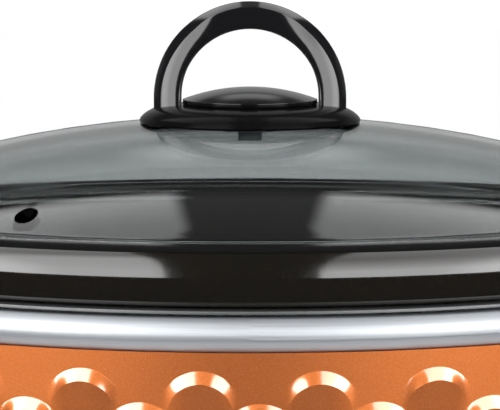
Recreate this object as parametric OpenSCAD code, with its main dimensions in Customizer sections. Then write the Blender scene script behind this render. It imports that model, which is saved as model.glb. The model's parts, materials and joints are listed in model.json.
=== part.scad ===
// Oval slow cooker: a sheet-metal heating base, a lift-out stoneware crock and a
// domed glass lid with an arched handle. Millimetres, +Z up, the control knob faces -Y.
//
// Every oval piece is an offset of the shell's outline, so its profile is drawn in
// (offset, height): offset 0 is the outside of the shell and negative is inward.

/* [Shell] */
// Outside length of the metal shell, along X
shell_length = 346; // [330:1:364]
// Outside depth of the metal shell, along Y
shell_depth = 262; // [250:1:274]
// Height of the metal shell
shell_height = 134.8; // [125:0.1:150]
// Sheet thickness of the shell
shell_wall = 0.8; // [0.6:0.1:1.2]

/* [Trim ring] */
// Radius of the rolled steel bead round the top of the shell
bead_radius = 6; // [5:0.1:7]
// Sheet thickness of the bead
bead_wall = 1.2; // [0.8:0.1:1.6]
// How far the bead stands proud of the shell
bead_proud = 2; // [1:0.1:3]
// Dark groove between the bead and the liner's flange
bead_groove = 0.8; // [0.4:0.1:1.5]

/* [Liner] */
// Sheet thickness of the heating liner
liner_wall = 1; // [0.8:0.1:1.5]
// Gap between the shell and the liner's wall at the top
liner_gap = 10.2; // [9:0.1:12]
// How much further in the wall is at its foot
liner_taper = 5; // [3:0.5:7]
// Outside radius between the liner's wall and floor
liner_corner = 40; // [34:1:44]
// Height of the liner's floor above the bottom cover
liner_floor_clear = 30; // [28:0.5:36]
// Width of the liner's flange
liner_flange = 8.5; // [8:0.1:9.5]

/* [Heater] */
// Width of the heating band round the liner
band_height = 50; // [30:1:56]
// Thickness of the heating band
band_wall = 1.5; // [1:0.1:2]
// Height of the band's lower edge above the liner's floor
band_above_floor = 44; // [42:1:50]
// Diameter of the band's two terminal posts
post_diameter = 4; // [3:0.5:5]
// Length of the terminal posts
post_length = 4.5; // [3:0.5:5]
// Distance between the terminal posts
post_spacing = 18; // [14:1:26]
// Diameter of the thermal fuse
fuse_diameter = 4.2; // [3.5:0.1:5]
// Length of the thermal fuse
fuse_length = 14; // [10:1:18]
// Distance of the thermal fuse from the middle of the liner
fuse_offset = 60; // [45:1:70]
// Sheet thickness of the fuse clip
clip_wall = 0.8; // [0.6:0.1:1]
// Width of the fuse clip
clip_width = 6; // [4:1:8]

/* [Crock] */
// Wall thickness of the stoneware
crock_wall = 7.5; // [6:0.5:8.5]
// Gap between the crock's wall and the liner
crock_gap = 3; // [2:0.5:4]
// Gap between the crock's floor and the liner's floor
crock_floor_gap = 3; // [1:0.5:4]
// Height of the rim above the liner's flange
rim_height = 17.6; // [15:0.1:20]
// How far the rim's outside lies in from the shell
rim_inset = 6; // [4:0.5:7]
// Radius of the rim's outer shoulder
rim_shoulder = 10; // [9:0.5:11]
// Radius of the rim's lower outer corner
rim_corner = 2.5; // [1.5:0.1:3]
// Depth of the ledge that the lid sits in
ledge_depth = 1.2; // [0.8:0.1:2]
// How far the end lugs stand out from the rim
lug_reach = 13; // [9:1:16]
// Radius of an end lug
lug_radius = 36; // [30:1:42]
// Thickness of an end lug
lug_thickness = 11; // [9:0.5:12]

/* [Lid] */
// Thickness of the lid's glass
glass_thickness = 4; // [3:0.5:5]
// How far the lid's edge lies in from the shell
lid_inset = 11; // [10.5:0.1:12.5]
// Width of the lid's flat rim
lid_rim_width = 8; // [7:0.5:9]
// Height of the dome above the flat rim
dome_rise = 31; // [24:1:38]
// Height of the whole ellipsoid that the dome is a cap of
dome_curve = 80; // [60:5:120]
// Diameter of the steam vent
vent_diameter = 8; // [6:0.5:10]
// Distance of the steam vent to the left of the middle
vent_left = 75; // [60:1:85]
// Distance of the steam vent in front of the middle
vent_front = 93; // [70:1:96]

/* [Lid handle] */
// Radius of the handle's round base
base_radius = 41.6; // [38:0.5:46]
// Height of the base's upright lip
base_lip = 3; // [2:0.5:4]
// Height of the whole base at its middle
base_height = 6.6; // [6:0.2:8]
// Radius of the domed pad inside the arch
pad_radius = 27; // [26.5:0.1:29]
// Height of the pad's upright lip
pad_lip = 1.8; // [1:0.2:3]
// Height of the pad's dome above its lip
pad_dome = 4.6; // [3:0.2:6]
// Half of the clear width under the arch
arch_half_width = 25.9; // [24:0.1:28]
// Thickness of the arch, seen from the front
arch_thickness = 10.2; // [8:0.1:12]
// Depth of the arch, seen from the side
arch_depth = 15; // [12:0.5:18]
// Height of the arch's centre above the pad's underside
arch_lift = 2.4; // [1:0.2:6]
// Diameter of the handle's screw
handle_screw_diameter = 5; // [4:0.5:6]
// Radius of the washer under the glass
washer_radius = 10; // [9:0.5:14]
// Thickness of the washer under the glass
washer_thickness = 1.2; // [1:0.1:2]

/* [Base] */
// Height of the plastic skirt
skirt_height = 12; // [10:0.5:14]
// Thickness of the skirt's ledge, which the shell stands on
skirt_ledge = 3; // [2.5:0.1:4]
// How far the skirt's ledge reaches in under the bottom cover
skirt_reach = 16; // [14:0.5:20]
// How far the skirt stands proud of the shell
skirt_proud = 2.4; // [2:0.1:3]
// Sheet thickness of the bottom cover
cover_wall = 1; // [0.8:0.1:1.5]
// Height of a foot without its pad
foot_height = 8; // [7:0.5:12]
// Radius of a foot
foot_radius = 11; // [10:0.5:12]
// Direction of each foot from the centre of its end, off the X axis
foot_angle = 48; // [30:1:60]
// Visible thickness of a foot's rubber pad
pad_thickness = 2; // [1.5:0.1:3]
// How deep the rubber pad is set into the foot
pad_recess = 1.5; // [1:0.1:2.5]
// Radius of a rubber pad
rubber_radius = 8; // [6:0.5:9]
// Diameter of the foot screws
foot_screw_diameter = 3.5; // [3:0.1:4]
// Diameter of the liner's central stud
stud_diameter = 5; // [4:0.5:6]
// Diameter of the stud's shoulder, which spaces the liner from the cover
stud_shoulder = 10; // [8:0.5:14]

/* [Side handles] */
// Height of the middle of the side handles above the floor
handle_level = 116; // [100:1:124]
// Height of a side handle's grip
grip_height = 14; // [12:0.5:18]
// How far a side handle stands out from the shell
grip_reach = 36; // [30:1:42]
// Thickness of the grip
grip_thickness = 11; // [9:0.5:13]
// Half of a side handle's width
grip_half_width = 56; // [50:1:62]
// Radius of a side handle's outer corners
grip_corner = 14; // [12:0.5:18]
// Thickness of a side handle's mounting plate
plate_thickness = 6; // [5:0.5:8]
// Height of a side handle's mounting plate
plate_height = 34; // [28:1:38]
// Half of the mounting plate's width
plate_half_width = 46; // [42:1:48]
// Diameter of the side handles' screws
grip_screw_diameter = 4; // [3:0.5:5]
// Distance of each of those screws from the middle of its handle
grip_screw_side = 30; // [22:1:34]

/* [Control] */
// Height of the knob's axis above the floor
knob_level = 53; // [52:0.5:56]
// Radius of the round dial plate behind the knob
bezel_radius = 29; // [27:0.5:29.5]
// Thickness of the dial plate at its middle
bezel_thickness = 4; // [3:0.5:5]
// Radius of the knob's foot
knob_radius = 21; // [19:0.5:23]
// Radius of the knob's grip
knob_grip_radius = 17; // [15:0.5:18.5]
// Depth of the knob from back to front
knob_depth = 20; // [16:0.5:24]
// Number of finger grooves round the knob
knob_grooves = 18; // [12:1:24]
// Radius of one finger groove
groove_radius = 1.6; // [1:0.1:2]
// Diameter of the switch shaft
shaft_diameter = 6; // [5:0.5:6.5]
// Diameter of the switch's threaded bushing
bushing_diameter = 9.5; // [9:0.1:11]
// Width across the flats of the bushing nut
nut_width = 14; // [13:0.5:15]
// Thickness of the bushing nut
nut_thickness = 2.6; // [2:0.1:3]
// Width and height of the switch housing
switch_width = 27; // [24:0.5:28]
// Depth of the switch housing
switch_depth = 15; // [14:0.5:15.5]
// Sheet thickness of the switch bracket
bracket_wall = 1.2; // [1:0.1:1.5]
// Width of the switch bracket
bracket_width = 36; // [32:1:40]

/* [Supply] */
// Diameter of the hole for the supply cord in its gland
cord_bore = 7.4; // [6.5:0.1:8]
// Height of the cord gland above the floor
gland_level = 38; // [34:0.5:44]
// Radius of the gland's outside flange
gland_flange = 9; // [8:0.5:11]
// Thickness of the gland's outside flange
gland_lip = 3; // [2:0.5:4]
// Diameter of the internal leads
lead_diameter = 2.6; // [2:0.1:3]

/* [Hidden] */
$fn = 96;
large_fn = 240;     // for the widest curves

function hundredth(x) = round(x * 100) / 100;

// Clearances
fit = 0.1;          // between parts of one assembly that seat on each other
loose = 0.2;        // round what passes through a hole in sheet or plate
seat = 0.3;         // under a part that lifts off
running = 0.3;      // round a part that turns
press = 0.05;       // between a shaft and what is pushed onto it
lid_play = 0.5;     // round the lid's edge in the crock's ledge
base_sink = 1.8;    // from the dome's top down to the lower edge of the handle's base
washer_drop = 0.7;  // from the dome's inside down to the flat washer, which its curve meets first
gasket_edge = 6;    // from the rim of the handle's base in to the gasket's pocket
gasket_depth = 3.4; // of the gasket's pocket
through = 1;        // how far a cutting tool runs past the face that it cuts
wall_cut = 20;      // how far a bore's tool runs to each side of a curved wall
seam = 4;           // width of the flat strip that joins a rounded corner to its floor
lap = 0.00001;      // by which neighbouring sectors of an oval overlap, so that they join

// The four-arc oval. The centres of the side and end arcs make an 8-15-17 triangle,
// so that the arcs meet without a kink and every length is a short decimal.
oval_unit = hundredth((shell_length - shell_depth) / 12);
end_cx = 8 * oval_unit;
side_cy = 15 * oval_unit;
end_r = shell_length / 2 - end_cx;
side_r = end_r + 17 * oval_unit;
half_depth = side_r - side_cy;
half_length = shell_length / 2;
wedge_reach = 1 + ceil(half_length / end_cx);   // how far the wedges run, so that they cover the oval

// Heights
skirt_bottom = pad_thickness + foot_height;
shell_bottom = skirt_bottom + skirt_ledge;
cover_top = shell_bottom + cover_wall;
shell_top = shell_bottom + shell_height;
bead_in = bead_radius - bead_proud;                 // offset of the bead's centre, inward
web_gap = 0.4;                                      // from the bead's web to the liner's wall
bead_level = hundredth(shell_top + fit + sqrt(pow(bead_radius, 2) - pow(bead_in - shell_wall, 2)));
flange_bottom = bead_level + bead_radius + bead_groove;
flange_top = flange_bottom + liner_wall;
liner_bottom = cover_top + liner_floor_clear;
liner_floor = liner_bottom + liner_wall;
rim_bottom = flange_top + seat;
rim_top = rim_bottom + rim_height;
ledge_level = rim_top - ledge_depth;
glass_bottom = ledge_level + seat;
glass_top = glass_bottom + glass_thickness;
dome_top = glass_top + dome_rise;
base_bottom = dome_top - base_sink;
pad_bottom = base_bottom + base_height + fit;
washer_top = dome_top - glass_thickness - 2 * fit - washer_drop;
tall = pad_bottom + 80;

// Liner: offsets of its outer face at the top and at the foot of its wall
liner_out = shell_wall + liner_gap;
liner_foot = liner_out + liner_taper;
liner_corner_level = liner_bottom + liner_corner;
function liner_face(z) = -liner_foot
    + liner_taper * (z - liner_corner_level) / (flange_bottom - liner_corner_level);

// Crock: offsets of its outer face
crock_out = liner_out + liner_wall + crock_gap;
crock_foot = crock_out + liner_taper;
crock_corner = liner_corner - liner_wall - 1;
crock_bottom = liner_floor + crock_floor_gap;
crock_corner_level = crock_bottom + crock_corner;
crock_in = crock_out + crock_wall;
shoulder_level = hundredth(rim_top - sqrt(pow(rim_shoulder, 2)
    - pow(rim_shoulder + rim_inset - lid_inset + lid_play, 2)));

// Lid dome: semi-axes of the ellipsoid's outside, and its centre
dome_foot = lid_inset + lid_rim_width - 5;
dome_level = dome_top - dome_curve;
dome_spread = sqrt(1 - pow((dome_curve - dome_rise) / dome_curve, 2));
dome_x = (half_length - dome_foot) / dome_spread;
dome_y = (half_depth - dome_foot) / dome_spread;

// Heater and fuse
band_bottom = liner_bottom + band_above_floor;
band_top = band_bottom + band_height;
post_level = (band_bottom + band_top) / 2;
post_y = half_depth + liner_face(post_level) + band_wall + 2 * fit;
fuse_level = liner_bottom - fit - fuse_diameter / 2;

// Washer and nut on the stud under the cover
stud_washer_radius = 8;
stud_washer_thickness = 1.2;
stud_nut_radius = 4.6;
stud_nut_height = 4.2;
stud_washer_bottom = shell_bottom - fit - stud_washer_thickness;

// Feet
foot_inset = 4;
foot_edge = 1.5;    // taper at the foot's lower edge
pad_edge = 0.6;     // taper at the rubber pad's lower edge
foot_line = end_r - foot_inset - foot_radius / 2;
foot_x = end_cx + foot_line * cos(foot_angle);
foot_y = foot_line * sin(foot_angle);
screw_head = 2;
grip_screw_tip = end_cx - 2
    + sqrt(pow(end_r + plate_thickness, 2) - pow(grip_screw_side + grip_screw_diameter, 2));
foot_bore_depth = 5;

// Control, measured forward (-Y) and back from the shell's front
front = -half_depth;
bezel_face = front - bezel_thickness;
nut_face = bezel_face - fit - nut_thickness;
knob_back = bezel_face - 0.6;
knob_face = knob_back - knob_depth;
knob_foot_depth = 5;
nut_pocket = 3.4;
function sag(x, r) = r - sqrt(r * r - x * x);
bracket_front = front + shell_wall + sag(bracket_width / 2, side_r - shell_wall) + fit;
switch_front = bracket_front + bracket_wall + fit;
switch_back = switch_front + switch_depth;
switch_skin = 2;
cam_radius = 8;
cam_depth = 5;
tab_length = 8;
tab_level = knob_level - 8;
tab_side = 7;
shaft_front = knob_face + 5;
shaft_back = switch_front + switch_skin + 1 + cam_depth;
pointer_depth = 1;
pointer_start = knob_grip_radius - 3.4;
pointer_length = 11;
pointer_width = 2;

// Supply
rear = half_depth;
gland_neck = cord_bore / 2 + 2;
gland_inner_lip = 2.5;
gland_back = rear - shell_wall - 1 - gland_inner_lip;
block_inset = 35;   // from the shell's back to the middle of the terminal block
block_y = rear - block_inset;
block_bore_side = 6;
block_bore_height = 5;
block_size = [26, 14, 11];
block_level = cover_top + fit;

// The knob stands further out than the gland, so the oval lies behind the origin
front_reach = -knob_face;
rear_reach = rear + gland_lip + fit;
centre_y = (front_reach - rear_reach) / 2;

module placed() translate([0, centre_y, 0]) children();

// ---- Oval helpers ----

module side_wedge(side)
    polygon([[-end_cx - lap, 0], [end_cx + lap, 0],
             [end_cx * wedge_reach + lap, side * side_cy * (1 - wedge_reach)],
             [-end_cx * wedge_reach - lap, side * side_cy * (1 - wedge_reach)]]);

module end_wedge(side)
    polygon([[side * end_cx, 0],
             [side * end_cx * (1 + wedge_reach), -side_cy * wedge_reach],
             [side * end_cx * (1 + wedge_reach), side_cy * wedge_reach]]);

// Sweeps a profile drawn in (offset, height) all the way round the oval
module oval_sweep()
    for (side = [-1, 1]) {
        intersection() {
            translate([0, side * side_cy, 0]) rotate_extrude() translate([side_r, 0]) children();
            translate([0, 0, -through]) linear_extrude(height = tall) side_wedge(side);
        }
        intersection() {
            translate([side * end_cx, 0, 0]) rotate_extrude() translate([end_r, 0]) children();
            translate([0, 0, -through]) linear_extrude(height = tall) end_wedge(side);
        }
    }

// The flat area inside the oval that lies inset from the shell
module oval(inset)
    for (side = [-1, 1]) {
        intersection() {
            translate([0, side * side_cy]) circle(r = side_r - inset);
            side_wedge(side);
        }
        intersection() {
            translate([side * end_cx, 0]) circle(r = end_r - inset);
            end_wedge(side);
        }
    }

module oval_plate(inset, bottom, thickness)
    translate([0, 0, bottom]) linear_extrude(height = thickness) oval(inset);

// A straight rod along Y, from y0 to y1
module rod_y(x, y0, y1, z, r)
    translate([x, y0, z]) rotate([-90, 0, 0]) cylinder(r = r, h = y1 - y0);

// A straight rod along X, from x0 to x1
module rod_x(x0, x1, y, z, r)
    translate([x0, y, z]) rotate([0, 90, 0]) cylinder(r = r, h = x1 - x0);

// ---- Heating base ----

module outer_shell()
    color("#c46f3a") placed() difference() {
        oval_sweep() translate([-shell_wall, shell_bottom]) square([shell_wall, shell_height]);
        rod_y(0, front - through, front + wall_cut, knob_level, bushing_diameter / 2 + loose);
        rod_y(0, rear - wall_cut, rear + through, gland_level, gland_neck + loose);
        grip_bores(grip_screw_diameter / 2 + loose);
    }

module trim_ring()
    color("#c9cccf") placed() oval_sweep() union() {
        translate([-bead_in, bead_level]) difference() {
            circle(r = bead_radius);
            circle(r = bead_radius - bead_wall);
        }
        ring_web = liner_out - fit - bead_in - bead_radius + bead_wall;
        translate([-liner_out + fit + web_gap, bead_level - bead_wall / 2])
            square([ring_web - web_gap, bead_wall]);
    }

module inner_liner()
    color("#b9bcbf") placed() {
        difference() {
            union() {
                oval_sweep() liner_profile();
                oval_plate(liner_foot + liner_corner + seam / 2, liner_bottom, liner_wall);
            }
            translate([0, 0, liner_bottom - through])
                cylinder(r = stud_diameter / 2 + 0.1, h = liner_wall + 2 * through);
        }
    }

module liner_profile() {
    polygon([[-liner_out, flange_top], [-liner_foot, liner_corner_level],
             [-liner_foot - liner_wall, liner_corner_level], [-liner_out - liner_wall, flange_top]]);
    translate([-liner_out - liner_wall, flange_bottom]) square([liner_flange + liner_wall, liner_wall]);
    translate([-liner_foot - liner_corner, liner_corner_level]) intersection() {
        difference() {
            circle(r = liner_corner);
            circle(r = liner_corner - liner_wall);
        }
        translate([0, -liner_corner]) square([liner_corner, liner_corner]);
    }
    translate([-liner_foot - liner_corner - seam, liner_bottom]) square([seam, liner_wall]);
}

module heating_band()
    color("#8a7f68") placed() oval_sweep()
        polygon([[liner_face(band_bottom) + fit, band_bottom],
                 [liner_face(band_bottom) + fit + band_wall, band_bottom],
                 [liner_face(band_top) + fit + band_wall, band_top],
                 [liner_face(band_top) + fit, band_top]]);

module heater_terminals()
    color("#d0b060") placed() for (side = [-1, 1])
        rod_y(side * post_spacing / 2, post_y, post_y + post_length, post_level, post_diameter / 2);

module thermal_fuse()
    color("#d9c7a0") placed() {
        rod_x(fuse_offset - fuse_length / 2, fuse_offset + fuse_length / 2, 0, fuse_level, fuse_diameter / 2);
        rod_x(fuse_offset - fuse_length / 2 - 4, fuse_offset + fuse_length / 2 + 4, 0, fuse_level, 0.6);
    }

module fuse_clip()
    color("#9fa3a6") placed() difference() {
        clip_out = fuse_diameter / 2 + fit + clip_wall;
        union() {
            rod_x(fuse_offset - clip_width / 2, fuse_offset + clip_width / 2, 0, fuse_level, clip_out);
            translate([fuse_offset - clip_width / 2, -clip_out - 5, liner_bottom - fit - clip_wall])
                cube([clip_width, 2 * clip_out + 10, clip_wall]);
        }
        rod_x(fuse_offset - clip_width, fuse_offset + clip_width, 0, fuse_level, fuse_diameter / 2 + fit);
        translate([fuse_offset - clip_width, -20, liner_bottom - fit]) cube([2 * clip_width, 40, 10]);
    }

module liner_stud()
    color("#a8abae") placed() {
        shoulder = liner_bottom - cover_top - 2 * fit;
        translate([0, 0, cover_top + fit]) cylinder(r = stud_shoulder / 2, h = shoulder);
        translate([0, 0, skirt_bottom - 5]) cylinder(r = stud_diameter / 2, h = 6 + skirt_ledge + cover_wall);
        translate([0, 0, cover_top + shoulder]) cylinder(r = stud_diameter / 2, h = liner_wall + fit);
    }

module stud_washer()
    color("#c0c3c6") placed() translate([0, 0, stud_washer_bottom]) difference() {
        cylinder(r = stud_washer_radius, h = stud_washer_thickness);
        translate([0, 0, -through])
            cylinder(r = stud_diameter / 2 + fit, h = stud_washer_thickness + 2 * through);
    }

module stud_nut()
    color("#b0b3b6") placed() translate([0, 0, stud_washer_bottom - fit - stud_nut_height]) difference() {
        cylinder(r = stud_nut_radius, h = stud_nut_height, $fn = 6);
        translate([0, 0, -through]) cylinder(r = stud_diameter / 2 + fit, h = stud_nut_height + 2 * through);
    }

module bottom_cover()
    color("#8d9195") placed() difference() {
        oval_plate(shell_wall + 0.4, shell_bottom, cover_wall);
        translate([0, 0, shell_bottom - through])
            cylinder(r = stud_diameter / 2 + fit, h = cover_wall + 2 * through);
        foot_places() translate([0, 0, shell_bottom - through])
            cylinder(r = foot_screw_diameter / 2 + fit, h = cover_wall + 2 * through);
    }

module base_skirt()
    color("#191919") placed() difference() {
        oval_sweep() skirt_profile();
        foot_places() translate([0, 0, skirt_bottom - through])
            cylinder(r = foot_screw_diameter / 2 + fit, h = skirt_ledge + 2 * through);
    }

module skirt_profile() {
    edge = 1.2;
    translate([-skirt_reach, skirt_bottom])
        square([skirt_reach + skirt_proud - edge, skirt_ledge - fit]);
    translate([fit, skirt_bottom + edge])
        square([skirt_proud - fit, skirt_height - 2 * edge]);
    translate([fit, skirt_bottom + edge]) square([skirt_proud - fit - edge, skirt_height - edge]);
    for (z = [skirt_bottom + edge, skirt_bottom + skirt_height - edge])
        translate([skirt_proud - edge, z]) circle(r = edge);
}

module foot_places() {
    for (side = [-1, 1], end = [-1, 1]) translate([side * foot_x, end * foot_y, 0]) children();
}

module foot(side, end)
    color("#161616") placed() translate([side * foot_x, end * foot_y, pad_thickness]) difference() {
        union() {
            translate([0, 0, foot_edge]) cylinder(r = foot_radius, h = foot_height - foot_edge - fit);
            cylinder(r1 = foot_radius - foot_edge, r2 = foot_radius, h = foot_edge);
        }
        translate([0, 0, -through]) cylinder(r = rubber_radius + fit, h = pad_recess + through);
        translate([0, 0, foot_height - foot_bore_depth])
            cylinder(r = foot_screw_diameter / 2 + fit, h = foot_bore_depth + through);
    }

module foot_pad(side, end)
    color("#2b2b2b") placed() translate([side * foot_x, end * foot_y, 0]) {
        cylinder(r1 = rubber_radius - pad_edge, r2 = rubber_radius, h = pad_edge);
        translate([0, 0, pad_edge])
            cylinder(r = rubber_radius, h = pad_thickness + pad_recess - fit - pad_edge);
    }

module foot_screws()
    color("#b5b8bb") placed() foot_places() {
        translate([0, 0, cover_top + fit]) cylinder(r = foot_screw_diameter, h = screw_head);
        bottom = skirt_bottom - foot_bore_depth + 0.5;
        translate([0, 0, bottom]) cylinder(r = foot_screw_diameter / 2, h = cover_top + 2 * fit - bottom);
    }

// ---- Side handles ----

// A plan of everything within radius r of the end arc's centre, half_width to each side,
// with the two outer corners rounded
module plan_block(r, half_width, corner) {
    corner_y = half_width - corner;
    corner_x = sqrt(pow(r - corner, 2) - pow(corner_y, 2));
    intersection() {
        circle(r = r);
        polygon([[0, 0], [2 * corner_x, -2 * corner_y], [2 * corner_x, 2 * corner_y]]);
    }
    translate([0, -half_width]) square([corner_x, 2 * half_width]);
    for (side = [-1, 1]) translate([corner_x, side * corner_y]) circle(r = corner);
}

module side_handle(side)
    color("#141414") placed() mirror([side < 0 ? 1 : 0, 0, 0]) translate([end_cx, 0, 0]) difference() {
        union() {
            translate([0, 0, handle_level - grip_height / 2]) linear_extrude(height = grip_height)
                difference() {
                    plan_block(end_r + grip_reach, grip_half_width, grip_corner);
                    circle(r = end_r + fit);
                    difference() {
                        plan_block(end_r + grip_reach - grip_thickness,
                                   grip_half_width - grip_corner, grip_corner / 2);
                        circle(r = end_r + plate_thickness);
                    }
                }
            translate([0, 0, handle_level - plate_height / 2]) linear_extrude(height = plate_height)
                difference() {
                    plan_block(end_r + plate_thickness - 0.5, plate_half_width, 4);
                    circle(r = end_r + fit);
                }
        }
        for (y = [-1, 1] * grip_screw_side)
            rod_x(0, grip_screw_tip + 0.5 - end_cx, y, handle_level, grip_screw_diameter / 2 + fit);
    }

module grip_bores(r)
    for (side = [-1, 1], y = [-1, 1] * grip_screw_side)
        mirror([side < 0 ? 1 : 0, 0, 0])
            rod_x(half_length - wall_cut, half_length + through, y, handle_level, r);

module side_handle_screws()
    color("#b5b8bb") placed() for (side = [-1, 1], y = [-1, 1] * grip_screw_side)
        mirror([side < 0 ? 1 : 0, 0, 0]) {
            inside = end_cx
                + sqrt(pow(end_r - shell_wall, 2) - pow(grip_screw_side + grip_screw_diameter, 2));
            rod_x(inside - fit - screw_head, inside - fit, y, handle_level, grip_screw_diameter * 0.9);
            rod_x(inside - 2 * fit, grip_screw_tip, y, handle_level, grip_screw_diameter / 2);
        }

// ---- Control ----

module control_bezel()
    color("#1b1b1b") placed() difference() {
        union() {
            rod_y(0, bezel_face + 1, front + 8, knob_level, bezel_radius);
            translate([0, bezel_face + 1, knob_level]) rotate([90, 0, 0])
                cylinder(r1 = bezel_radius, r2 = bezel_radius - 1, h = 1);
        }
        translate([0, side_cy, 0]) cylinder(r = side_r + fit, h = tall, $fn = large_fn);
        rod_y(0, bezel_face - through, front + through, knob_level, bushing_diameter / 2 + loose);
    }

module rotary_switch()
    color("#3a3a3a") placed() difference() {
        union() {
            translate([-switch_width / 2, switch_front, knob_level - switch_width / 2])
                cube([switch_width, switch_depth, switch_width]);
            rod_y(0, nut_face - 0.5, switch_front + through, knob_level, bushing_diameter / 2);
        }
        rod_y(0, nut_face - through, switch_front + 3, knob_level, shaft_diameter / 2 + running);
        rod_y(0, switch_front + switch_skin, shaft_back + 1, knob_level, cam_radius + 0.6);
    }

module switch_tabs()
    color("#c9a94f") placed() for (side = [-1, 1])
        translate([side * tab_side - 3.1, switch_back + fit, tab_level - 0.4])
            cube([6.2, tab_length, 0.8]);

module switch_bracket()
    color("#a5a8ab") placed() difference() {
        translate([-bracket_width / 2, bracket_front, knob_level - switch_width / 2 - 4])
            cube([bracket_width, bracket_wall, switch_width + 8]);
        rod_y(0, bracket_front - through, bracket_front + bracket_wall + through, knob_level,
              bushing_diameter / 2 + fit);
    }

module switch_nut()
    color("#bfc2c5") placed() translate([0, bezel_face - fit, knob_level]) rotate([90, 0, 0]) difference() {
        cylinder(r = nut_width / sqrt(3), h = nut_thickness, $fn = 6);
        translate([0, 0, -through])
            cylinder(r = bushing_diameter / 2 + fit, h = nut_thickness + 2 * through);
    }

// Turns about the knob's axis; drawn with its back at height 0 and its face at knob_depth
module on_knob_axis()
    translate([0, knob_back, knob_level]) rotate([90, 0, 0]) children();

module control_knob()
    color("#121212") placed() on_knob_axis() difference() {
        rotate_extrude() {
            square([knob_radius, knob_foot_depth - 1]);
            square([knob_radius - 1, knob_foot_depth]);
            translate([knob_radius - 1, knob_foot_depth - 1]) circle(r = 1);
            square([knob_grip_radius, knob_depth - 2.5]);
            square([knob_grip_radius - 2.5, knob_depth]);
            translate([knob_grip_radius - 2.5, knob_depth - 2.5]) circle(r = 2.5);
        }
        translate([0, 0, -through]) cylinder(r = nut_width / 2 + 2.2, h = nut_pocket + through);
        translate([0, 0, -through])
            cylinder(r = shaft_diameter / 2 + press, h = knob_back - shaft_front + through + fit);
        for (i = [0:knob_grooves - 1]) rotate(i * 360 / knob_grooves)
            translate([knob_grip_radius + 0.6, 0, knob_foot_depth + 0.8])
                cylinder(r = groove_radius, h = knob_depth);
        translate([-pointer_start, -pointer_width / 2, knob_depth - pointer_depth])
            cube([pointer_length, pointer_width, pointer_depth + through]);
    }

module knob_pointer()
    color("#efefea") placed() on_knob_axis()
        translate([-pointer_start + fit, -pointer_width / 2 + fit, knob_depth - pointer_depth + fit])
            cube([pointer_length - 2 * fit, pointer_width - 2 * fit, pointer_depth - fit]);

module switch_shaft()
    color("#c4c7ca") placed() rod_y(0, shaft_front, shaft_back, knob_level, shaft_diameter / 2);

module switch_cam()
    color("#d8d4c8") placed() difference() {
        rod_y(0, shaft_back - cam_depth, shaft_back, knob_level, cam_radius);
        rod_y(0, shaft_back - cam_depth - through, shaft_back + through, knob_level,
              shaft_diameter / 2 + press);
    }

// ---- Supply and leads ----

module cord_gland()
    color("#1a1a1a") placed() difference() {
        union() {
            rod_y(0, rear + fit, rear + fit + gland_lip, gland_level, gland_flange);
            rod_y(0, gland_back, rear + 1, gland_level, gland_neck);
            rod_y(0, gland_back, gland_back + gland_inner_lip, gland_level, gland_neck + 1.5);
        }
        rod_y(0, rear - wall_cut, rear + wall_cut, gland_level, cord_bore / 2);
    }

module terminal_block()
    color("#e6e2d6") placed() difference() {
        translate([-block_size[0] / 2, block_y - block_size[1] / 2, block_level]) cube(block_size);
        for (side = [-1, 1])
            rod_y(side * block_bore_side, block_y - block_size[1], block_y + block_size[1],
                  lead_low, lead_diameter / 2 + loose);
    }

// A lead is a round tube along a smooth route through a few points
function unit(v) = v / norm(v);
function spline(a, b, c, d, t) =
    0.5 * (2 * b + (c - a) * t + (2 * a - 5 * b + 4 * c - d) * t * t + (3 * b - a - 3 * c + d) * t * t * t);
function route(p, steps) = let (last = len(p) - 1) [
    for (i = [0:last - 1], j = [0:steps - 1])
        spline(p[max(i - 1, 0)], p[i], p[i + 1], p[min(i + 2, last)], j / steps),
    p[last]];
function headings(path) = let (last = len(path) - 1)
    [for (i = [0:last]) unit(path[min(i + 1, last)] - path[max(i - 1, 0)])];
function level_out(normal, heading) = unit(normal - (normal * heading) * heading);
function side_at(headings, i) =
    i == 0 ? level_out([1, 0.3, 0.2], headings[0]) : level_out(side_at(headings, i - 1), headings[i]);

lead_sides = 8;
lead_steps = 5;

module lead(points) {
    path = route(points, lead_steps);
    along = headings(path);
    rings = [for (i = [0:len(path) - 1]) let (u = side_at(along, i), v = cross(along[i], u))
        for (k = [0:lead_sides - 1])
            path[i] + lead_diameter / 2 * (cos(k * 360 / lead_sides) * u + sin(k * 360 / lead_sides) * v)];
    top = (len(path) - 1) * lead_sides;
    faces = concat(
        [[for (k = [0:lead_sides - 1]) k]],
        [for (i = [0:len(path) - 2], k = [0:lead_sides - 1])
            let (n = (k + 1) % lead_sides, low = i * lead_sides, high = low + lead_sides)
            each [[low + k, high + k, high + n], [low + k, high + n, low + n]]],
        [[for (k = [lead_sides - 1:-1:0]) top + k]]);
    polyhedron(rings, faces);
}

block_front = block_y - block_size[1] / 2 + 4;
lead_low = block_level + block_bore_height;
tab_end = switch_back + fit + tab_length + lead_diameter / 2 + 0.2;
post_end = post_y + post_length / 2;

module lead_live()
    color("#6b3d22") placed() lead([
        [block_bore_side, block_front, lead_low], [block_bore_side, block_front - 7, lead_low],
        [block_bore_side, block_front - 15, lead_low], [-24, 30, lead_low], [-24, -40, lead_low],
        [-12, -80, 30], [-tab_side, tab_end + 2, tab_level - 6], [-tab_side, tab_end, tab_level]]);

module lead_switched()
    color("#7a2a22") placed() lead([
        [tab_side, tab_end, tab_level], [tab_side, tab_end + 4, tab_level - 8], [20, -70, 28],
        [36, -30, 26], [40, -8, 32], [fuse_offset - fuse_length / 2 - 5.6, 0, fuse_level]]);

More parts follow.
